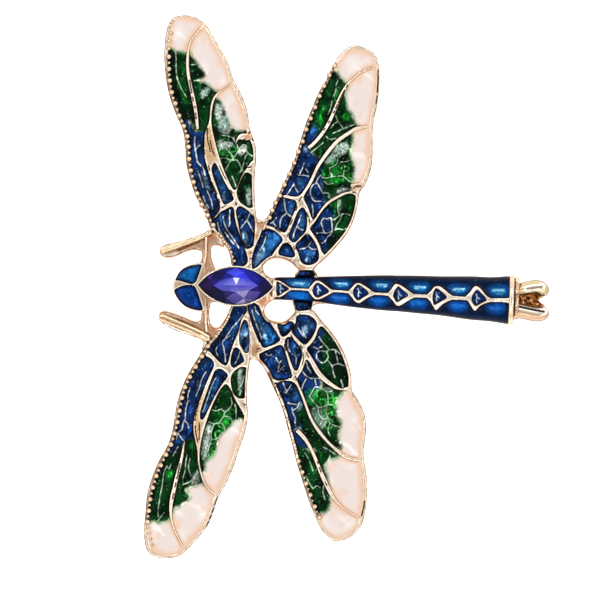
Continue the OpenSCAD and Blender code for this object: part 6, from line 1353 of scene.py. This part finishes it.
def build_tail():
    along, c, half = tail_lattice()
    w = np.concatenate([[-1, -0.75, -0.5, -0.25], np.linspace(0, 1, 85), [1.25, 1.5, 1.75, 2]])
    W, A = np.meshgrid(w, along)
    Cc = np.repeat(c[:, None, :], len(w), 1)
    H = np.repeat(half[:, None], len(w), 1)
    P0 = tail_place(Cc, H, W, 0.0)
    P = P0[..., :2].reshape(-1, 2)
    shape = W.shape
    inside = np.max([sd_points(P, at(smooth(d[1], 4))) for d in DIAMONDS], 0).reshape(shape)
    outside = np.max([sd_points(P, at(smooth(d[0], 4))) for d in DIAMONDS], 0).reshape(shape)
    line = sd_points(P, at(ribbon(smooth_open(TAIL_LINE, 3)))).reshape(shape)
    bar = sd_points(P, at([[272.8, 276.8], [275.1, 276.6], [275.1, 299.8], [273, 299.8]])).reshape(shape)
    front = -sd_points(P, at([[260, 262], [274.4, 262], [274.4, 316], [260, 316]])).reshape(shape)
    solid = np.maximum(np.maximum(outside, line), np.maximum(bar, -front))
    side_of = sd_points(P, at(np.concatenate([[[200, 284]], smooth_open(TAIL_LINE, 3)[:, :2], [[560, 303], [560, 100], [200, 100]]]))).reshape(shape)
    back = sd_points(P, at([[200, 150], [510.4, 150], [510.4, 450], [200, 450]])).reshape(shape)

    def sheet_on(S, off_of, depth, colour_of, build):
        S = np.minimum(S, back)
        S[:, 0] = S[:, -1] = -0.05
        S[0] = S[-1] = -0.05
        s = Sheet(S, 0.003)
        cc, hh, ww = s.take(Cc), s.take(H), s.take(W)
        d = s.take(S)
        top = tail_place(cc, hh, ww, off_of(s, d))
        low = tail_place(cc, hh, ww, -depth + 0 * ww)
        shift = np.array([*MID, 0])
        shell(build, s, (top - shift), (low - shift), colour_of(s, d))

    metal = Build()
    # the tail's metal: cream, going dark at its rounded edges as painted shade
    sheet_on(np.minimum(solid, -inside), lambda s, d: 0.06 - 0.10 * round_edge(d, 0.16), TAIL_SKIN - 0.05,
             lambda s, d: rgba(mix(TAN * 0.4, CREAM, step(0.01, 0.11, d))), metal)
    # the closed core under the enamel
    k = np.linspace(0, 1, 25)
    wr = np.concatenate([[-1], k, [2]])
    rings = [tail_place(np.repeat(c[i:i + 1], len(wr), 0), np.full(len(wr), half[i]), wr, -(TAIL_SKIN - 0.04)) for i in range(0, len(along), 6)]
    v = np.concatenate(rings) - np.array([*MID, 0])
    m, q = len(wr), len(rings)
    tris = []
    for i in range(q - 1):
        for j in range(m):
            a, b2, c2, d2 = i * m + j, i * m + (j + 1) % m, (i + 1) * m + (j + 1) % m, (i + 1) * m + j
            tris += [[a, b2, c2], [a, c2, d2]]
    for j in range(1, m - 1):
        tris += [[0, j + 1, j], [(q - 1) * m, (q - 1) * m + j, (q - 1) * m + j + 1]]
    tris = np.array(tris)
    t = v[tris]
    if np.sum(np.einsum("ij,ij->i", t[:, 0], np.cross(t[:, 1], t[:, 2]))) < 0:
        tris = tris[:, ::-1]
    metal.add(v, tris, [*WALL, 1.0])
    metal.object("tail_metal", GOLD, 42, ["casting"])

    lights = np.max([sd_points(P, at(smooth(q, 3))) for q in TAIL_LIGHTS], 0).reshape(shape)
    # painted glints: short bright zigzag dashes over the upper highlights
    glint_dashes = np.full(len(P), 9.0)
    for q in TAIL_LIGHTS[:6]:
        cx, cy = np.mean(q, 0) + [0.6, -0.8]
        zig = [[cx + 1.25 * k, cy + 0.04 * k + (0.75 if k % 2 else -0.55)] for k in range(-4, 5)]
        glint_dashes = np.minimum(glint_dashes, line_points(P, at(zig)))
    glint_dashes = glint_dashes.reshape(shape)
    def tail_colour(s, d, upper):
        li, w = s.take(lights), np.abs(s.take(W) - 0.5) * 2
        # painted shade: darker away from the highlights, near-black beside the metal, smudged dark round the diamonds,
        # and dark along the tail's curved flanks
        base = mix(srgb(3, 20, 48), srgb(4, 56, 108) if upper else srgb(5, 56, 120), step(-0.7, -0.05, li))
        base = mix(srgb(0, 2, 8), base, step(0.03, 0.26, d))
        base = mix(base, srgb(34, 22, 34), 0.6 * step(-0.5, -0.08, s.take(outside)))
        base = mix(base, srgb(20, 13, 16), 0.97 * (step(0.52, 0.8, w) if upper else step(0.64, 0.86, w)))
        # painted highlights: cyan to white on the upper side, blue on the lower
        glow = mix(srgb(36, 118, 176), srgb(170, 216, 232), step(0.25, 0.7, waves(0.45 * s.take(P0[..., 0]), 1.5 * s.take(P0[..., 1]), 0.6, 3.0))) if upper else srgb(16, 90, 170)
        shown = mix(base, glow, 0.85 * step(-0.02, 0.26, li))
        return rgba(mix(shown, srgb(150, 210, 232), 0.8 * step(0.1, 0.03, s.take(glint_dashes))), 0.25)
    def swell(s, d):
        return -0.10 + 0.10 * np.sqrt(np.clip(d / 0.5, 0, 1)) + 0.05 * step(-0.2, 0.3, s.take(lights))
    for key, part in (("right", side_of), ("left", -side_of)):
        b = Build()
        sheet_on(np.minimum(-solid + 0.02, part + 0.02), swell, TAIL_SKIN - GAP, lambda s, d, k=key: tail_colour(s, d, k == "right"), b)
        b.object(f"{key}_tail_glass", TAIL_ENAMEL, 55, [f"{key}_tail_enamel"], "blue enamel")
    for i, dia in enumerate(DIAMONDS):
        S = sd_points(P, at(smooth(dia[1], 4))).reshape(shape)
        cx, cy = np.mean(dia[1], 0)
        spark = np.minimum(line_points(P, at([[cx - 1.4, cy - 4], [cx - 0.4, cy - 1], [cx - 1.3, cy + 1.4], [cx - 0.8, cy + 4]])),
                           line_points(P, at([[cx - 0.4, cy - 1], [cx + 1.8, cy + 0.7]]))).reshape(shape)
        b = Build()
        # painted shade and glint: the diamond's glass darkens towards its frame, and spark is a painted white glint
        # line
        sheet_on(S + 0.02, lambda s, d: -0.09 + 0.12 * np.sqrt(np.clip(d / 0.4, 0, 1)), TAIL_SKIN - GAP,
                 lambda s, d, z=spark: rgba(mix(mix(srgb(1, 4, 16), srgb(6, 40, 96), step(0.02, 0.35, d)), srgb(206, 220, 232),
                 0.85 * step(0.09, 0.03, s.take(z)) * step(0.06, 0.16, d)), 0.6), b)
        b.object(f"tail_diamond_{i + 1}_glass", ENAMEL, 55, [f"tail_diamond_{i + 1}_enamel"], "blue enamel")

def build_bands():
    b = Build()
    prof = [(-0.5, -0.14), (-0.47, -0.05), (-0.3, 0.04), (0.0, 0.07), (0.3, 0.04), (0.47, -0.05), (0.5, -0.14)]
    ang = np.linspace(0, math.pi, 73)
    for n, (across, down, hw, width, rise) in enumerate(([511.2, 300.1, 24.6, 5, 2.86], [516.4, 298, 20.5, 5, 2.26])):
        c = at([across, down]) - MID
        hw, width = hw * MM, width * MM
        v, cols = [], []
        for dx, dr in prof:
            y, z = c[1] - (hw + dr) * np.cos(ang), BASE_Z + TAIL_EDGE + (rise + dr) * np.sin(ang)
            y, z = np.concatenate([y[:1], y, y[-1:]]), np.concatenate([[BASE_Z + 0.09 + 0.03 * n], z, [BASE_Z + 0.09 + 0.03 * n]])
            x = c[0] + dx * width + 0 * y
            v.append(np.stack([x, y, z], 1))
            t = np.concatenate([[0], ang, [math.pi]]) / math.pi
            # painted shade: the first band is lighter in the middle of its arch and darker towards its ends, and each
            # band's sides go dark brown; the second band's dark speckles are its own tone
            if n == 0:
                tone = mix(mix(srgb(196, 180, 140), srgb(236, 214, 186), step(0.12, 0.4, t)), srgb(214, 160, 134), step(0.62, 0.92, t))
            else:
                tone = mix(srgb(224, 184, 152), srgb(58, 28, 20), step(0.12, 0.4, waves(9 * t, 0 * t + 3 * dx, 0.55, 4.0)))
            edge = srgb(58, 32, 22) if dr < -0.1 else srgb(150, 108, 82)
            cols.append(rgba(mix(np.broadcast_to(edge, tone.shape), tone, float(step(-0.06, 0.03, np.array(dr))))))
        m, k = len(v[0]), len(prof)
        tris = []
        for i in range(k - 1):
            for j in range(m):
                a, b2, c2, d2 = i * m + j, i * m + (j + 1) % m, (i + 1) * m + (j + 1) % m, (i + 1) * m + j
                tris += [[a, b2, c2], [a, c2, d2]]
        for j in range(1, m - 1):
            tris += [[0, j + 1, j], [(k - 1) * m, (k - 1) * m + j, (k - 1) * m + j + 1]]
        v, tris = np.concatenate(v), np.array(tris)
        t = v[tris]
        if np.sum(np.einsum("ij,ij->i", t[:, 0], np.cross(t[:, 1], t[:, 2]))) < 0:
            tris = tris[:, ::-1]
        b.add(v, tris, np.concatenate(cols))
    b.object("collar_metal", GOLD, 42, ["casting"])

LOBE_GROOVES = [[[527, 289], [535, 287.7], [541.6, 286.8]], [[518, 306.3], [527, 308.4], [536, 310.2], [543.6, 311.7]]]

def build_lobes():
    b = Build()
    everything = np.concatenate([at(RIGHT_LOBE), at(LEFT_LOBE), at(LOBE_FLOOR)])
    g = Grid(everything, 0.41, 0.0643)
    groove = np.minimum(*[g.near(at(smooth_open(q, 4)), 0.6, False) for q in LOBE_GROOVES])
    for chart, top, r in ((RIGHT_LOBE, LOBE_H, 0.95), (LEFT_LOBE, LOBE_H, 0.95), (LOBE_FLOOR, 0.55, 0.2)):
        S = g.sd(at(smooth(chart, 6)), 1.2)
        sheet = Sheet(S, 0.002)
        x, y, d = sheet.take(g.X), sheet.take(g.Y), sheet.take(S)
        z = BASE_Z + top * (1 - 0.55 * round_edge(d, r))
        if top > 1:
            gr = 1 - step(0.02, 0.16, sheet.take(groove))
            z = z - 0.12 * gr
            near = sheet.take(groove)
            tip = step(at([543.5, 300])[0], at([548.5, 300])[0], x)
            body = mix(srgb(208, 186, 142), srgb(212, 174, 142), 1.0 * (chart is LEFT_LOBE))
            # painted shade darkens the dome towards its edge, and it is darker at its right tip; a painted highlight
            # runs beside the groove, and the groove is painted dark as shade
            col = mix(srgb(104, 78, 54), np.broadcast_to(body, (len(x), 3)), step(0.02, 0.36, d))
            col = mix(col, srgb(120, 96, 66), 0.65 * tip)
            col = mix(col, srgb(254, 246, 232), 0.9 * step(0.62, 0.3, near))
            col = mix(col, srgb(12, 7, 5) if chart is LEFT_LOBE else srgb(106, 78, 46), step(0.22, 0.1, near) * (0.98 if chart is LEFT_LOBE else 0.8))
        else:
            # the recess between the lobes shifts from dark brown through amber to pale cream in waves, its pale parts
            # painted sparkle highlights
            glow = waves(x, y, 0.9, 2.0) + 0.5 * waves(x, y, 0.45, 5.0)
            col = mix(mix(srgb(64, 30, 10), srgb(176, 112, 58), step(-0.5, 0.4, glow)), srgb(250, 226, 180), step(0.45, 0.8, glow))
            z = z + 0.08 * glow
        relief(b, sheet, x, y, z, rgba(np.asarray(col)), lambda l, t=top, c=chart: (BASE_Z + (0.0 if t > 1 else 0.06) + (0.0 if c is RIGHT_LOBE or t < 1 else 0.03), False), level, 0)
    b.object("tail_end_metal", GOLD, 50, ["casting"])

build_side(1)
build_side(-1)
build_head()
build_cup()
build_stone()
build_tail()
build_bands()
build_lobes()

pin = frame["nodes"]["pin_back"]
pin.data.materials.clear()
pin.data.materials.append(PLAIN_GOLD)
pin.data.polygons.foreach_set("use_smooth", np.ones(len(pin.data.polygons), bool))
pin.data.set_sharp_from_angle(angle=math.radians(35))

# ---- floor, light and camera ----
def floor_and_light():
    m, nt, b = nodes_of("pale_floor")
    nt.links.new(ramp(nt, noise(nt, 30, 2.0).outputs[0], [(0.3, 0.93), (0.7, 0.95)]), b.inputs["Base Color"])
    b.inputs["Roughness"].default_value = 0.95
    b.inputs["Specular IOR Level"].default_value = 0.1
    b.inputs["Emission Color"].default_value = (1, 1, 1, 1)
    b.inputs["Emission Strength"].default_value = 0.75
    mesh = bpy.data.meshes.new("floor")
    mesh.from_pydata([(-2, -2, 0), (2, -2, 0), (2, 2, 0), (-2, 2, 0)], [], [(0, 1, 2, 3)])
    mesh.materials.append(m)
    o = bpy.data.objects.new("floor", mesh)
    bpy.context.scene.collection.objects.link(o)
    w = bpy.data.worlds.new("studio")
    w.use_nodes = True
    bg = w.node_tree.nodes["Background"]
    co = w.node_tree.nodes.new("ShaderNodeTexCoord")
    axes = w.node_tree.nodes.new("ShaderNodeSeparateXYZ")
    w.node_tree.links.new(co.outputs["Generated"], axes.inputs[0])
    dome = ramp(w.node_tree, axes.outputs[2], [(0.0, 0.72), (0.45, 0.92), (0.80, 1.0), (0.89, 1.0), (0.94, 0.50), (1.0, 0.48)])
    w.node_tree.links.new(dome, bg.inputs[0])
    bg.inputs[1].default_value = 1.35
    bpy.context.scene.world = w
    for name, place, size, power in (("key", (-0.26, 0.38, 0.54), 0.030, 0.30), ("fill", (0.42, -0.10, 0.50), 0.030, 0.22),
                                     ("low", (-0.10, -0.42, 0.46), 0.028, 0.20), ("left", (-0.44, -0.06, 0.42), 0.028, 0.16),
                                     ("near", (-0.12, 0.44, 0.62), 0.026, 0.16), ("back", (0.24, 0.40, 0.46), 0.028, 0.18),
                                     ("side", (0.22, -0.40, 0.58), 0.026, 0.16)):
        l = bpy.data.lights.new(name, "AREA")
        l.shape = "SQUARE"
        l.size = size
        l.energy = power
        lo = bpy.data.objects.new(name, l)
        lo.location = place
        lo.rotation_euler = (Vector((0, 0, 0)) - Vector(place)).to_track_quat("-Z", "Y").to_euler()
        bpy.context.scene.collection.objects.link(lo)

def camera():
    cam = bpy.data.cameras.new("camera")
    cam.lens, cam.sensor_width = 1400, 36
    dist = 600 * MM / 1000 / 36 * 1400
    p = at([300, 300]) - MID
    o = bpy.data.objects.new("camera", cam)
    o.location = (p[0] / 1000, p[1] / 1000, dist + 0.004)
    o.rotation_euler = (0, 0, TURN)
    cam.clip_end = 20
    bpy.context.scene.collection.objects.link(o)
    bpy.context.scene.camera = o

floor_and_light()
camera()
bpy.context.scene.view_settings.view_transform = "Standard"
bpy.context.scene.view_settings.look = "None"
for name, count in sorted(TALLY.items(), key=lambda p: -p[1]):
    print("piece", name, count)
print("triangles", sum(TALLY.values()))
